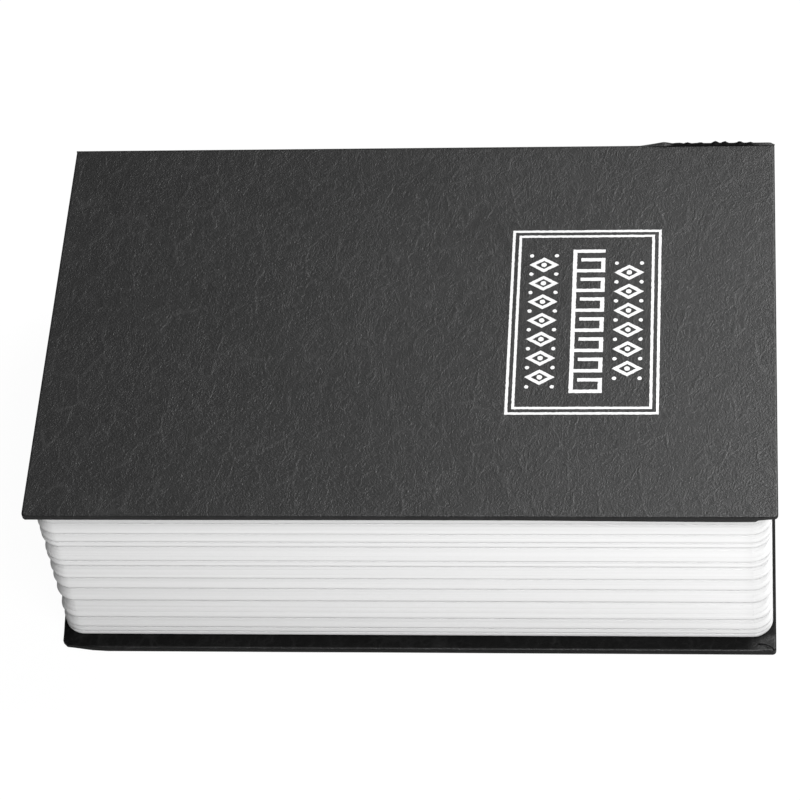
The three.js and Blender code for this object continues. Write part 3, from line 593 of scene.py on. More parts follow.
def cover_sheet():
    """One cover's sheet, with its outside at z = 0 and its inside up."""
    bm = box_bmesh((-HALF_LENGTH, FORE_EDGE, 0), (HALF_LENGTH, JOINT_EDGE, COVER_THICK))
    at_fore_edge = [e for e in upright_edges(bm) if all_near(e, Y, FORE_EDGE)]
    round_edges(bm, at_fore_edge, CORNER, 5)
    level = [e for e in bm.edges if all_near(e, Z, e.verts[0].co.z)]
    arrises = [e for e in level if not all_near(e, Y, JOINT_EDGE)]
    round_edges(bm, arrises, ARRIS, 4)
    at_joint = [f for f in bm.faces if all_near(f, Y, JOINT_EDGE)]
    bmesh.ops.delete(bm, geom=at_joint, context="FACES")
    for side in (-1, 1):
        cut_at(bm, X, side * (HALF_LENGTH - TURN_IN))
    cut_at(bm, Y, FORE_EDGE + TURN_IN)
    bmesh.ops.delete(bm, geom=[f for f in bm.faces if in_gap(f)], context="FACES")
    cut_every(bm, X, -HALF_LENGTH, HALF_LENGTH, FACET)
    cut_every(bm, Y, FORE_EDGE, JOINT_EDGE, FACET)
    for inset in FOLD_CUTS:
        cut_at(bm, Y, FORE_EDGE + inset)
    for inset in ARRIS_CUTS:
        cut_at(bm, Y, FORE_EDGE + inset)
        for side in (-1, 1):
            cut_at(bm, X, side * (HALF_LENGTH - inset))
    return bm


def fold_corners(bm):
    """The end strips overlap the fore strip along a slanting fold, with a pucker at the corner."""
    for side in (-1, 1):
        for inset in FOLD_CUTS:
            cut_at(bm, X, side * (HALF_LENGTH - inset))
        corner = Vector((side * HALF_LENGTH, FORE_EDGE, 0))
        across = Vector((side * 0.5, 1, 0)).normalized()
        for shift in (-FOLD_STEP, FOLD_STEP):
            cut_along(bm, corner + across * shift, across)
        for v in bm.verts:
            outward = (v.co - corner).dot(across)
            inside = v.co.z > COVER_THICK - FOLD_STEP
            if inside and v.co.x * side > 0 and abs(v.co.x) > HALF_LENGTH - TURN_IN - 1 * MM:
                pucker = 1 - smooth_step((v.co.xy - corner.xy).length, *PUCKER_REACH)
                v.co.z += FOLD_STEP * smooth_step(outward, 0, FOLD_STEP)
                v.co.z += PUCKER * pucker * (0.5 + noise.noise(v.co * 900))


def unevenness(x, y):
    """How far glued leatherette stands off a true plane, in metres."""
    slow = noise.noise(Vector((x * 18, y * 22, 0.3)))
    quick = noise.noise(Vector((x * 70, y * 80, 1.7)))
    return (slow * SLOW_RISE + quick * QUICK_RISE) * MM


print("leatherette sheet: turned in by", round(TURN_IN / MM), "mm")

# %% Worn covers
# The loose flap under the front cover: where it runs along X, how far it hangs, and its depth along Y
FLAP_FROM = 22 * MM
FLAP_TO = 85.4 * MM
FLAP_END = 0.8 * MM
FLAP_SAG = 0.6 * MM
FLAP_DEPTH = (0.4 * MM, 3.5 * MM)
THINNED_TO = 0.68
THIN_REACH = (0.5 * MM, 6.5 * MM)
# The knocked corner of the back cover: each movement and its reach
KNOCKED_CORNER = Vector((-HALF_LENGTH, FORE_EDGE, 0))
BENT_UP, BENT_REACH = 0.4 * MM, 8 * MM
PUSHED_IN, PUSHED_REACH = Vector((0.6, 0.9)) * MM, 12 * MM
BLUNTED, BLUNTED_REACH = 0.4 * MM, 2 * MM


def thin_corner(bm, outside):
    """The near right corner of the front cover is worn thin. Its outside, at this height, stays as it is."""
    for v in bm.verts:
        away = math.hypot(v.co.x - HALF_LENGTH, v.co.y - FORE_EDGE)
        thinned = THINNED_TO + (1 - THINNED_TO) * smooth_step(away, *THIN_REACH)
        v.co.z = outside + (v.co.z - outside) * thinned


def knock_corner(bm):
    """The near left corner of the back cover has been knocked: pushed in, blunted and bent up a little."""
    for v in bm.verts:
        inward = Vector((v.co.x, v.co.y, 0)) - KNOCKED_CORNER
        v.co.z += BENT_UP * (1 - smooth_step(inward.length, 0, BENT_REACH))
        v.co.xy += PUSHED_IN * (1 - smooth_step(inward.length, 0, PUSHED_REACH))
        v.co.xy += inward.xy.normalized() * BLUNTED * (1 - smooth_step(inward.length, 0, BLUNTED_REACH))


def turn_over(bm):
    """Mirrors a piece between the foot of the book and its top."""
    bmesh.ops.transform(bm, matrix=Matrix.Scale(-1, 4, (0, 0, 1)), verts=bm.verts)
    bmesh.ops.translate(bm, vec=(0, 0, COVER_TOP), verts=bm.verts)


bm = cover_sheet()
fold_corners(bm)
for x in (FLAP_TO - FLAP_END, FLAP_TO):
    cut_at(bm, X, x)
for v in bm.verts:
    loose = smooth_step(v.co.x, FLAP_FROM, FLAP_TO) * (1 - smooth_step(v.co.x, FLAP_TO - FLAP_END, FLAP_TO))
    hanging = 1 - smooth_step(v.co.y, FORE_EDGE + FLAP_DEPTH[0], FORE_EDGE + FLAP_DEPTH[1])
    v.co.z += FLAP_SAG * loose * hanging * smooth_step(v.co.z, 0.5 * MM, COVER_THICK)
    v.co.z += unevenness(v.co.x, v.co.y)
thin_corner(bm, 0)
turn_over(bm)
face_outwards(bm)
mark_sharp(bm)
front_sheet = finish_piece(
    bm, "front_cover_leatherette", "front_cover", black_leatherette, ["front_covering"]
)
thicken(front_sheet, -1, rim_crease=1)

bm = cover_sheet()
fold_corners(bm)
for v in bm.verts:
    v.co.z += abs(unevenness(v.co.x + 0.4, v.co.y))
knock_corner(bm)
face_outwards(bm)
mark_sharp(bm)
back_sheet = finish_piece(
    bm, "back_cover_leatherette", "case", back_leatherette, ["back_covering"]
)
thicken(back_sheet, -1, rim_crease=1)
print("covers:", len(front_sheet.data.polygons), "faces each before their thickness")

# %% [markdown]
# ## Spine and joints
#
# The same sheet runs up the spine. Between each cover and the spine it is only a strip with nothing behind
# it, and the front strip is what the cover swings on; here it rides on neither body. Near the head of
# the book the strip has come up and its edge is torn.

# %% Spine
spine_low, spine_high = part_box("spine_covering")
bm = box_bmesh(spine_low, spine_high)
round_edges(bm, upright_edges(bm), ARRIS, 4)
open_faces = [f for f in bm.faces if abs(f.normal.z) > 0.9]
bmesh.ops.delete(bm, geom=open_faces, context="FACES")
for side in (-1, 1):
    cut_at(bm, X, side * (HALF_LENGTH - TURN_IN))
inner = [f for f in bm.faces if f.normal.y < -0.9 and abs(f.calc_center_median().x) < HALF_LENGTH - TURN_IN]
bmesh.ops.delete(bm, geom=inner, context="FACES")
cut_every(bm, X, -HALF_LENGTH, HALF_LENGTH, FACET)
cut_every(bm, Z, spine_low.z, spine_high.z, FACET)
for v in bm.verts:
    if v.co.y > spine_high.y - 0.1 * MM:
        v.co.y -= abs(unevenness(v.co.x, v.co.z + 2)) * 1.2
face_outwards(bm)
spine_sheet = finish_piece(
    bm, "spine_leatherette", "case", black_leatherette, ["spine_covering"]
)
thicken(spine_sheet, -1)
print("spine:", len(spine_sheet.data.polygons), "faces")

# %% Joint strips
STRIP_DIP = 0.35 * MM
STRIP_STEPS = 10
STRIP_LENGTHS = 360
STRIP_RIPPLE = 0.08 * MM
# Along X, where the strip starts to come up, where it stands highest, and where the tear ends
TORN_FROM = 51 * MM
TORN_PEAK = 61.8 * MM
TORN_TO = 85.5 * MM
STANDS_UP = 0.55 * MM
PEAK_DROP, END_DROP = 0.28, 0.5
# Tufts of fibre at the tear: the place along X and the reach in millimetres, the height as a share
TUFT_HEIGHT = 1.25 * MM
TEAR_TUFTS = [
    (65.8, 0.3, 1.1),
    (67.9, 0.6, 0.9),
    (71.4, 0.35, 0.8),
    (75.0, 0.95, 1.0),
    (77.4, 1.0, 0.8),
    (81.2, 0.95, 1.0),
    (83.9, 0.6, 0.7),
]
FIBRE_SHARE = 0.35
TUFT_LINE, TUFT_SPREAD = 0.35, 0.14


def strip_section(share):
    """A point of the strip, from the cover's outside at 0 to the spine's outside at 1, as (y, drop)."""
    start = Vector((JOINT_EDGE, 0.0))
    end = Vector((spine_high.y, spine_low.z))
    middle = (start + end) / 2 + Vector((-STRIP_DIP, STRIP_DIP))
    return start * (1 - share) ** 2 + middle * 2 * share * (1 - share) + end * share**2


def tear_lift(x, share, drop):
    """How far the strip stands up at its torn part, with the tufts on it."""
    along = min(max((x - TORN_FROM) / (TORN_PEAK - TORN_FROM), 0), 1)
    rise = along**1.4 * (1 - PEAK_DROP * smooth_step(x, TORN_PEAK, TORN_PEAK + 3 * MM))
    rise *= 1 - END_DROP * smooth_step(x, HALF_LENGTH - 1.2 * MM, HALF_LENGTH)
    level = rise * (1 - smooth_step(share, 0.42, 1))
    lift = level * (0.85 * drop + STANDS_UP * smooth_step(share, 0, 0.3))
    torn_here = smooth_step(x, TORN_PEAK + 1 * MM, TORN_PEAK + 3 * MM)
    torn_here *= 1 - smooth_step(x, TORN_TO - 1 * MM, TORN_TO)
    tufts = max(0, max(height * (1 - abs(x / MM - place) / reach) for place, height, reach in TEAR_TUFTS))
    fibres = abs(noise.noise(Vector((x * 900, 4.5, 0)))) * FIBRE_SHARE
    crest = max(0, 1 - abs(share - TUFT_LINE) / TUFT_SPREAD)
    return lift + TUFT_HEIGHT * torn_here * crest * (tufts + fibres)


def joint_strip(torn):
    bm = bmesh.new()
    bmesh.ops.create_grid(bm, x_segments=STRIP_LENGTHS, y_segments=STRIP_STEPS, size=0.5)
    for v in bm.verts:
        share = v.co.y + 0.5
        x = v.co.x * 2 * HALF_LENGTH
        y, drop = strip_section(share)
        lift = tear_lift(x, share, drop) if torn else 0.0
        ripple = noise.noise(Vector((x * 60, share * 3, 4))) * STRIP_RIPPLE * math.sin(math.pi * share)
        v.co = Vector((x, y, COVER_TOP - drop + lift + ripple))
    return bm


bm = joint_strip(torn=True)
face_outwards(bm)
front_strip = finish_piece(bm, "front_joint_strip", None, torn_leatherette, ["front_joint"])
thicken(front_strip, 1)

bm = joint_strip(torn=False)
turn_over(bm)
face_outwards(bm)
back_strip = finish_piece(bm, "back_joint_strip", "case", black_leatherette, ["back_joint"])
thicken(back_strip, 1)
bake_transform(front_strip)
print("joint strips:", len(front_strip.data.polygons), "faces each")

# %% [markdown]
# ## Title panel
#
# The panel on the cover is hot foil: a thin metallic film pressed on with a heated die. It has a double
# border and three rows of plain ornament. Each row is a chain of simple bmesh shapes. The film follows the
# unevenness of the leatherette, and its edges are a little ragged because the grain doesn't take it
# everywhere.

# %% Foil
FOIL = 0.03 * MM
PANEL_LOW = Vector((24.6 * MM, -28.9 * MM))
PANEL_HIGH = Vector((61.75 * MM, 28.7 * MM))
LINE = 0.68 * MM
LINE_GAP = 0.95 * MM
# Each row of ornament from its low to its high edge, along X and then along Y
RIGHT_ROW = (50.2 * MM, 57.6 * MM, -18.0 * MM, 18.0 * MM)
MIDDLE_ROW = (39.9 * MM, 47.9 * MM, -22.4 * MM, 21.4 * MM)
LEFT_ROW = (29.0 * MM, 36.4 * MM, -20.5 * MM, 20.5 * MM)
LOZENGE_LINE = 0.85 * MM
KEY_LINE = 1.0 * MM
# Shares of a turn's or lozenge's pitch, and of the width of a line
HOOK_AT = 0.72
LOZENGE_HALF = 0.40
EYE_RADIUS = 0.8
DOT_RADIUS = 0.62
DOT_INSET = 0.7
FOIL_FACET = 0.5 * MM
RAGGED = 0.11 * MM
FOIL_LIFT = 0.012 * MM


def flat_rectangle(bm, low, high):
    made = bmesh.ops.create_grid(bm, x_segments=1, y_segments=1, size=0.5)["verts"]
    bmesh.ops.scale(bm, vec=(high[0] - low[0], high[1] - low[1], 1), verts=made)
    bmesh.ops.translate(bm, vec=((low[0] + high[0]) / 2, (low[1] + high[1]) / 2, 0), verts=made)
    return made


def leave_rim(bm, made, width):
    """Cuts the middle out of a flat shape."""
    face = made[0].link_faces[0]
    bmesh.ops.inset_individual(bm, faces=[face], thickness=width, use_even_offset=True)
    bmesh.ops.delete(bm, geom=[face], context="FACES")


def flat_disc(bm, centre, radius_x, radius_y, sides):
    made = bmesh.ops.create_circle(bm, cap_ends=True, segments=sides, radius=1)["verts"]
    bmesh.ops.scale(bm, vec=(radius_x, radius_y, 1), verts=made)
    bmesh.ops.translate(bm, vec=(centre[0], centre[1], 0), verts=made)
    return made


def key_row(bm, x_low, x_high, y_low, y_high, turns, stroke):
    """A running key pattern: a square wave with a hook in each turn."""
    pitch = (y_high - y_low) / turns
    for i in range(turns):
        y = y_low + i * pitch
        hook = y + pitch * HOOK_AT - stroke
        flat_rectangle(bm, (x_low, y), (x_high, y + stroke))
        flat_rectangle(bm, (x_high - stroke, y + stroke), (x_high, y + pitch * HOOK_AT))
        flat_rectangle(bm, (x_low + 2 * stroke, hook), (x_high - stroke, hook + stroke))
        flat_rectangle(bm, (x_low, y + stroke), (x_low + stroke, y + pitch))
    flat_rectangle(bm, (x_low, y_high), (x_high, y_high + stroke))


def lozenge_row(bm, x_low, x_high, y_low, y_high, count, stroke):
    """A chain of hollow lozenges with a dot in each, and a dot at each side between them."""
    pitch = (y_high - y_low) / count
    middle = (x_low + x_high) / 2
    for i in range(count):
        y = y_low + (i + 0.5) * pitch
        leave_rim(bm, flat_disc(bm, (middle, y), (x_high - x_low) / 2, pitch * LOZENGE_HALF, 4), stroke)
        flat_disc(bm, (middle, y), stroke * EYE_RADIUS, stroke * EYE_RADIUS, 16)
    for i in range(count + 1):
        y = y_low + i * pitch
        for x in (x_low + stroke * DOT_INSET, x_high - stroke * DOT_INSET):
            flat_disc(bm, (x, y), stroke * DOT_RADIUS, stroke * DOT_RADIUS, 14)


bm = bmesh.new()
step_in = Vector((LINE + LINE_GAP, LINE + LINE_GAP))
leave_rim(bm, flat_rectangle(bm, PANEL_LOW, PANEL_HIGH), LINE)
leave_rim(bm, flat_rectangle(bm, PANEL_LOW + step_in, PANEL_HIGH - step_in), LINE)
lozenge_row(bm, *RIGHT_ROW, 6, LOZENGE_LINE)
key_row(bm, *MIDDLE_ROW, 7, KEY_LINE)
lozenge_row(bm, *LEFT_ROW, 7, LOZENGE_LINE)

cut_every(bm, X, PANEL_LOW.x, PANEL_HIGH.x, FOIL_FACET)
cut_every(bm, Y, PANEL_LOW.y, PANEL_HIGH.y, FOIL_FACET)
for v in bm.verts:
    ragged = Vector((noise.noise(v.co * 2600), noise.noise(v.co * 2600 + Vector((7, 7, 7))), 0))
    v.co += ragged * RAGGED
    v.co.z = COVER_TOP + FOIL_LIFT - unevenness(v.co.x, v.co.y)
raised = bmesh.ops.extrude_face_region(bm, geom=bm.faces[:])["geom"]
bmesh.ops.translate(bm, vec=(0, 0, FOIL), verts=[v for v in raised if isinstance(v, bmesh.types.BMVert)])
face_outwards(bm)

foil, tree, shader, place = new_material("stamped foil", roughness=0.5, metallic=0.3)
grain = use_group(tree, grain_group, {"Place": place})
bare = remap(tree, noise_value(tree, place, 3200.0), 0.66, 0.74)
tree.links.new(mix_colours(tree, bare, grey(0.5), grey(0.2)), shader.inputs["Base Color"])
bump(tree, shader, grain["Height"], 0.05 * MM, 0.6)
title_foil = finish_piece(bm, "title_panel_foil", "front_cover", foil, smooth=False)
print("foil:", len(title_foil.data.polygons), "faces")

# %% [markdown]
# ## Page block
#
# The pages are one white plastic moulding. Its fore edge, head and tail carry moulded lines, so that it
# looks like sheaves of paper. The plan is extruded upwards ring by ring, and each ring is drawn in where a
# line runs: every sheaf has a lip at its foot, with a fainter line or two above it. The rim is filled
# between the outside and the opening, and a lip hangs down round the opening. Below each line the colour is
# darkened, a painted shadow of the lip, and the right end is painted greyer, a painted shade.

# %% Page block
pages_low, pages_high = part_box("page_block")
lid_low, lid_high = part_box("box_lid")
PAGE_LINES = [3.5, 5.5, 9.9, 17.5, 22.9, 27.4, 32.8, 35.0, 41.1, 43.1, 46.5, 51.0, 54.2]
FAINT_LINES = [8.3, 12.4, 14.4, 20.4, 25.3, 29.2, 31.1, 37.1, 39.1, 44.9, 48.6]
FAINT_DEPTH = 0.015 * MM
END_DEEPER = 2.0
# How far the first and the two last rings are drawn in, and the height between those two
FOOT_IN = 0.2 * MM
HEAD_IN = (0.6 * MM, 0.8 * MM)
HEAD_ARRIS = 0.03 * MM
PAGE_WALL = 1.8 * MM
PAGE_CORNER = 5 * MM
LEAN = 0.65 * MM
OPENING_GAP = 0.5 * MM
OPENING_BACK = 52.05 * MM
OPENING_SOFT = 0.35 * MM
LIP_DEPTH = 5 * MM
LIP_WALL = 1.2 * MM
LIP_STEP = 0.3 * MM
# The painted shadow below each line: how far it reaches from a line, at most over which part of a sheaf, and
# how strong it is
SHADOW_BELOW = 1.8 * MM
SHADOW_ABOVE = 0.6 * MM
SHADOW_PART = 0.45
SHADOW_STRENGTH = 0.55
# Painted shade: along X, the right end is darkened towards the shade tone, up to this strength
SHADED_END = (81 * MM, 88 * MM)
END_SHADE_STRENGTH = 0.5
PAGE_TONES = (0.8, 0.86)
SHADE_TONE = 0.6


def sheaf_rings(foot, head):
    """Heights and draw-ins of one sheaf: a lip stands out at its foot, and it leans back to its head."""
    lip = ((0.03, 0.12), (0.12, 0.06), (0.3, 0.02), (0.6, 0.0), (0.9, 0.02))
    rings = [(foot + up * MM, inward * MM) for up, inward in lip]
    start, slope = rings[-1][0], head - 0.2 * MM - rings[-1][0]
    for t in (0.25, 0.5, 0.75, 1.0):
        rings.append((start + slope * t, 0.02 * MM + 0.075 * slope * t))
    deepest = rings[-1][1] + 0.05 * MM
    return rings + [(head - 0.12 * MM, deepest - 0.02 * MM), (head - 0.04 * MM, deepest)]


def faint_lines(rings):
    """Adds a shallow notch to the swelling wherever a faint line runs."""

    def swell(z):
        below = max((ring for ring in rings if ring[0] <= z), key=lambda ring: ring[0])
        above = min((ring for ring in rings if ring[0] > z), key=lambda ring: ring[0])
        along = (z - below[0]) / (above[0] - below[0])
        return below[1] + (above[1] - below[1]) * along

    notches = []
    for line in FAINT_LINES:
        for step, depth in ((-0.25, 0), (-0.05, 1), (0.02, 0.1), (0.3, 0)):
            z = (line + step) * MM
            notches.append((z, swell(z) + FAINT_DEPTH * depth))
    return sorted(rings + notches)


heights = [pages_low.z] + [line * MM for line in PAGE_LINES] + [pages_high.z]
rings = faint_lines([ring for foot, head in zip(heights, heights[1:]) for ring in sheaf_rings(foot, head)])
rings[0] = (pages_low.z, FOOT_IN)
rings[-1] = (pages_high.z - HEAD_ARRIS, HEAD_IN[0])
rings.append((pages_high.z, HEAD_IN[1]))


def ring_place(start, out, inward, z):
    """A point of the plan, drawn in at this height. Head and tail are drawn in further than the fore edge."""
    place = start - out * inward * (1 + END_DEEPER * abs(out.x))
    place.z = z
    return place


def rectangle_loop(bm, x, y_low, y_high, z):
    made = flat_rectangle(bm, (-x, y_low), (x, y_high))
    for v in made:
        v.co.z = z
    face = made[0].link_faces[0]
    edges = face.edges[:]
    bmesh.ops.delete(bm, geom=[face], context="FACES_ONLY")
    return edges


def next_loop(bm, edges, grow, dz):
    """Extrudes a rectangular loop up by dz and outwards by grow on each side."""
    grown = bmesh.ops.extrude_edge_only(bm, edges=edges)["geom"]
    verts = [v for v in grown if isinstance(v, bmesh.types.BMVert)]
    middle = sum((v.co for v in verts), Vector()) / len(verts)
    for v in verts:
        v.co.x += grow if v.co.x > middle.x else -grow
        v.co.y += grow if v.co.y > middle.y else -grow
        v.co.z += dz
    return [e for e in grown if isinstance(e, bmesh.types.BMEdge)]


bm = bmesh.new()
made = flat_rectangle(bm, (pages_low.x, pages_low.y), (pages_high.x, pages_high.y))
fore_corners = [v for v in made if near(v.co.y, pages_low.y)]
bmesh.ops.bevel(
    bm, geom=fore_corners, offset=PAGE_CORNER, segments=14, profile=0.5, affect="VERTICES", material=-1
)
inner_x = pages_high.x - PAGE_CORNER
plan = {}
for v in bm.verts:
    centre = Vector((max(-inner_x, min(inner_x, v.co.x)), max(pages_low.y + PAGE_CORNER, v.co.y), 0))
    plan[v] = (v.co.copy(), (v.co - centre).normalized())
bmesh.ops.delete(bm, geom=bm.faces[:], context="FACES_ONLY")
ring_edges = bm.edges[:]
bottom_edges = ring_edges
for v in list(plan):
    v.co = ring_place(*plan[v], rings[0][1], rings[0][0])
for z, inward in rings[1:]:
    below = list({v for e in ring_edges for v in e.verts})
    grown = bmesh.ops.extrude_edge_only(bm, edges=ring_edges)["geom"]
    new_verts = [v for v in grown if isinstance(v, bmesh.types.BMVert)]
    ring_edges = [e for e in grown if isinstance(e, bmesh.types.BMEdge)]
    lookup = {(round(v.co.x, 7), round(v.co.y, 7)): plan[v] for v in below}
    for v in new_verts:
        plan[v] = lookup[(round(v.co.x, 7), round(v.co.y, 7))]
        v.co = ring_place(*plan[v], inward, z)
outer_top = ring_edges
right_end = {v for v in bm.verts if v.co.x > 0}

opening_x = lid_high.x + OPENING_GAP
opening_low = lid_low.y - OPENING_GAP
soft = OPENING_SOFT
loop = rectangle_loop(bm, opening_x + soft, opening_low - soft, OPENING_BACK + soft, pages_high.z)
bmesh.ops.triangle_fill(bm, use_beauty=True, edges=outer_top + loop, normal=(0, 0, 1))
loop = next_loop(bm, loop, -soft * 0.7, -soft * 0.3)
loop = next_loop(bm, loop, -soft * 0.3, -soft * 0.7)
loop = next_loop(bm, loop, 0, -(PAGE_WALL + LIP_DEPTH - soft))
loop = next_loop(bm, loop, LIP_WALL, 0)
loop = next_loop(bm, loop, 0, LIP_DEPTH)
loop = next_loop(bm, loop, LIP_STEP, 0)
loop = next_loop(bm, loop, 0, pages_low.z - (pages_high.z - PAGE_WALL))
bmesh.ops.triangle_fill(bm, use_beauty=True, edges=bottom_edges + loop, normal=(0, 0, -1))
for v in right_end:
    v.co.x -= LEAN * (v.co.z - pages_low.z) / (pages_high.z - pages_low.z)
face_outwards(bm)
mark_sharp(bm, EDGE_SHARP, True)

page_plastic, tree, shader, place = new_material("moulded page plastic", roughness=0.42)
stretched = vector_maths(tree, "MULTIPLY", place, (3.0, 3.0, 2600.0))
leaves = noise_value(tree, stretched, detail=3.0, roughness=0.65)
bundles = noise_value(tree, vector_maths(tree, "MULTIPLY", place, (1.5, 1.5, 700.0)))
both = maths(tree, "MULTIPLY_ADD", bundles, 0.4, leaves)
white = mix_colours(tree, remap(tree, both, 0.5, 0.9), grey(PAGE_TONES[0]), grey(PAGE_TONES[1]))
along, _, height = add_node(tree, "ShaderNodeSeparateXYZ", {"Vector": place}).outputs
# Painted shadow: the white darkens just below each line, where the lip above it would shade it
nearest = 1.0
for foot, line in zip([pages_low.z / MM] + PAGE_LINES, PAGE_LINES):
    reach = min(SHADOW_BELOW, SHADOW_PART * (line - foot) * MM)
    below = maths(tree, "MULTIPLY_ADD", height, -1 / reach, line * MM / reach)
    above = maths(tree, "MULTIPLY_ADD", height, 1 / SHADOW_ABOVE, -line * MM / SHADOW_ABOVE)
    nearest = maths(tree, "MINIMUM", nearest, maths(tree, "MAXIMUM", below, above))
painted_shade = maths(tree, "MULTIPLY", one_minus(tree, nearest), SHADOW_STRENGTH)
# Painted shade: the right end is darkened too
painted_shade = maths(tree, "ADD", painted_shade, remap(tree, along, *SHADED_END, 0.0, END_SHADE_STRENGTH))
white = mix_colours(tree, painted_shade, white, grey(SHADE_TONE))
tree.links.new(white, shader.inputs["Base Color"])
bump(tree, shader, both, 0.025 * MM, 0.5)
page_piece = finish_piece(bm, "moulded_pages", "case", page_plastic, ["page_block"])
print("pages:", len(page_piece.data.polygons), "faces in", len(rings), "rings")

# %% [markdown]
# ## Boards and endpapers
#
# Grey board and paper have short fibres in all directions, which a stretched noise gives in two directions
# at once. The spine board and the endpapers keep their CAD shapes. The cover boards are cut into small
# faces, so that they follow their sheets at the two worn corners.

# %% Paper fibres
group, entry, leave = new_group(
    "paper fibres",
    [("Place", "NodeSocketVector", None), ("Fibre", "NodeSocketFloat", 900.0)],
    [("Fibres", "NodeSocketFloat")],
)
fibre_group = group
sets = []
for seed, stretch in ((1.0, (1.0, 0.18, 1.0)), (5.0, (0.18, 1.0, 1.0))):
    moved = stretched_place(group, entry["Place"], stretch, (seed, seed, seed))
    sets.append(noise_value(group, moved, entry["Fibre"], detail=4.0))
group.links.new(maths(group, "MULTIPLY", maths(group, "ADD", *sets), 0.5), leave["Fibres"])


def paper_like(name, dark, light, warmth, roughness):
    material, tree, shader, place = new_material(name, roughness=roughness)
    fibres = use_group(tree, fibre_group, {"Place": place})["Fibres"]
    tone = remap(tree, fibres, 0.38, 0.62)
    colour = mix_colours(tree, tone, grey(dark, warmth), grey(light, warmth))
    tree.links.new(colour, shader.inputs["Base Color"])
    bump(tree, shader, fibres, 0.03 * MM, 0.6)
    return material


grey_board = paper_like("grey board", 0.2, 0.32, 0.05, 0.95)
endpaper = paper_like("endpaper", 0.46, 0.54, 0.02, 0.85)
print("paper fibres:", len(group.nodes), "nodes, for board and endpaper")

# %% Boards and endpapers
BOARD_FACET = 2 * MM


def dress(node, material):
    mesh = nodes[node].data
    mesh.materials.clear()
    mesh.materials.append(material)


def cut_board(node):
    low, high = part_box(node)
    bm = box_bmesh(low, high)
    cut_every(bm, X, low.x, high.x, BOARD_FACET)
    cut_every(bm, Y, low.y, high.y, BOARD_FACET)
    return bm


dress("spine_board", grey_board)
bm = cut_board("back_board")
knock_corner(bm)
mark_sharp(bm)
finish_piece(bm, "back_cover_board", "case", grey_board, ["back_board"])
bm = cut_board("front_board")
thin_corner(bm, COVER_TOP)
mark_sharp(bm)
finish_piece(bm, "front_cover_board", "front_cover", grey_board, ["front_board"])
for node in ("front_pastedown", "back_pastedown"):
    dress(node, endpaper)
print("boards and endpapers: dressed")

# %% [markdown]
# ## Steel box, lid, hinge and lock
#
# These pieces have the right CAD shapes, but their edges are dead sharp, and real sheet metal catches light
# along every edge. A CAD node's mesh is loose triangles, so each piece starts as a copy of one, merged into
# a clean mesh, with its sharp edges bevelled by a tenth of a millimetre.

# %% Copies with soft edges
MERGE_WITHIN = 0.002 * MM
FLAT_WITHIN = math.radians(0.4)
BEVEL = 0.1 * MM
BEVEL_FROM = math.radians(28)


def softened(node, body, material):
    bm = bmesh.new()
    bm.from_mesh(nodes[node].data)
    bmesh.ops.remove_doubles(bm, verts=bm.verts, dist=MERGE_WITHIN)
    bmesh.ops.dissolve_limit(bm, angle_limit=FLAT_WITHIN, verts=bm.verts, edges=bm.edges)
    sharp = [e for e in bm.edges if len(e.link_faces) == 2 and e.calc_face_angle(0) > BEVEL_FROM]
    round_edges(bm, sharp, BEVEL, 2)
    bmesh.ops.triangulate(bm, faces=[f for f in bm.faces if len(f.verts) > 4])
    mark_sharp(bm, EDGE_SHARP, True)
    return finish_piece(bm, node + "_finished", body, material, [node])


print("copies get their edges bevelled by", round(BEVEL / MM, 2), "mm")


# %% Finishes of the metal pieces
def vary(tree, shader, tone, dark, light, haze, rough, rougher):
    """A colour between two greys after one noise, and a roughness that grows with another."""
    tree.links.new(mix_colours(tree, tone, dark, light), shader.inputs["Base Color"])
    tree.links.new(maths(tree, "MULTIPLY_ADD", haze, rougher, rough), shader.inputs["Roughness"])


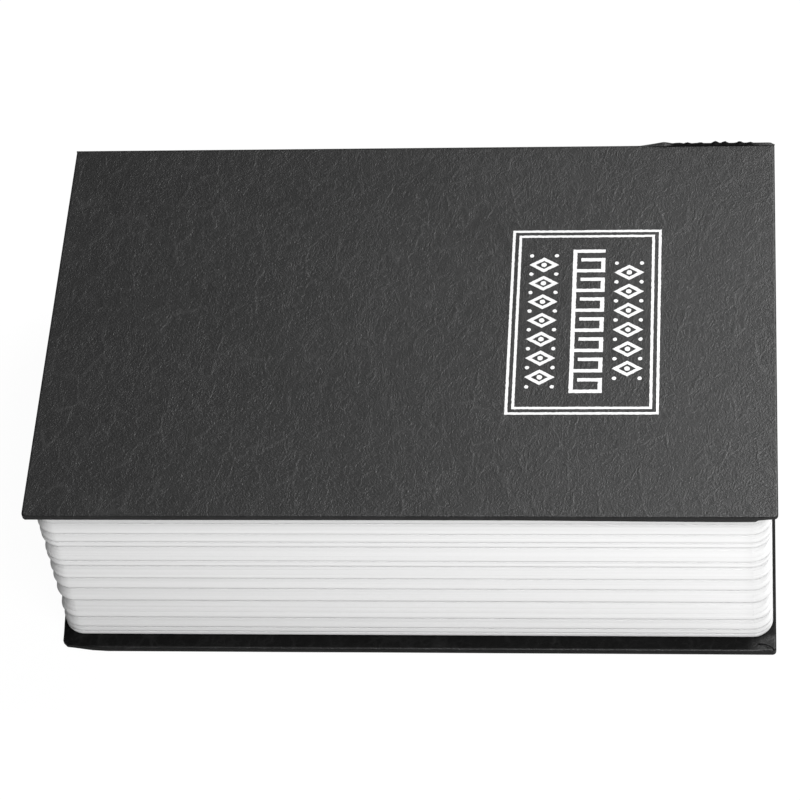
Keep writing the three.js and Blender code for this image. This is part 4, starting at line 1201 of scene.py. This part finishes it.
painted_steel, tree, shader, place = new_material("black powder coat")
cloud = noise_value(tree, place, 40.0, detail=3.0)
vary(tree, shader, remap(tree, cloud, 0.35, 0.7), grey(0.014), grey(0.024), cloud, 0.36, 0.2)
bump(tree, shader, noise_value(tree, place, 1500.0), 0.05 * MM, 0.8)

plated_steel, tree, shader, place = new_material("zinc plate", metallic=1.0)
drawn = vector_maths(tree, "MULTIPLY", place, (60.0, 2400.0, 2400.0))
lines = noise_value(tree, drawn, detail=3.0)
cloud = noise_value(tree, place, 260.0, detail=3.0)
vary(tree, shader, cloud, grey(0.4, -0.01), grey(0.62, -0.01), lines, 0.2, 0.28)
bump(tree, shader, lines, 0.012 * MM, 0.5)

chrome_plate, tree, shader, place = new_material("polished chrome", metallic=1.0)
haze = noise_value(tree, place, 300.0, detail=4.0)
vary(tree, shader, haze, grey(0.58, -0.01), grey(0.7, -0.01), haze, 0.05, 0.14)

rivet_aluminium, tree, shader, place = new_material("drawn aluminium", metallic=1.0)
cloud = noise_value(tree, place, 900.0, detail=3.0)
vary(tree, shader, cloud, grey(0.5), grey(0.64), cloud, 0.3, 0.2)
print("metal finishes: 4")

# %% Metal pieces
FINISHES = {"painted_steel": painted_steel, "plated_steel": plated_steel, "chrome_plate": chrome_plate}
FINISHES["rivet_aluminium"] = rivet_aluminium
METAL_PIECES = {
    "steel_box": ("case", "painted_steel"),
    "box_lid": ("lid", "painted_steel"),
    "box_hinge_leaf": ("case", "plated_steel"),
    "lid_hinge_leaf": ("lid", "plated_steel"),
    "hinge_pin": ("case", "plated_steel"),
    "lock_housing": ("lid", "chrome_plate"),
    "lock_washer": ("lid", "plated_steel"),
    "lock_nut": ("lid", "plated_steel"),
    "lock_plug": ("plug", "chrome_plate"),
    "lock_cam": ("plug", "plated_steel"),
    "cam_washer": ("plug", "plated_steel"),
    "cam_screw": ("plug", "plated_steel"),
}
for number in range(1, 5):
    METAL_PIECES[f"box_rivet_{number}"] = ("case", "rivet_aluminium")
for node, (body, slot) in METAL_PIECES.items():
    piece = softened(node, body, FINISHES[slot])
    print(node, len(piece.data.polygons), "faces")
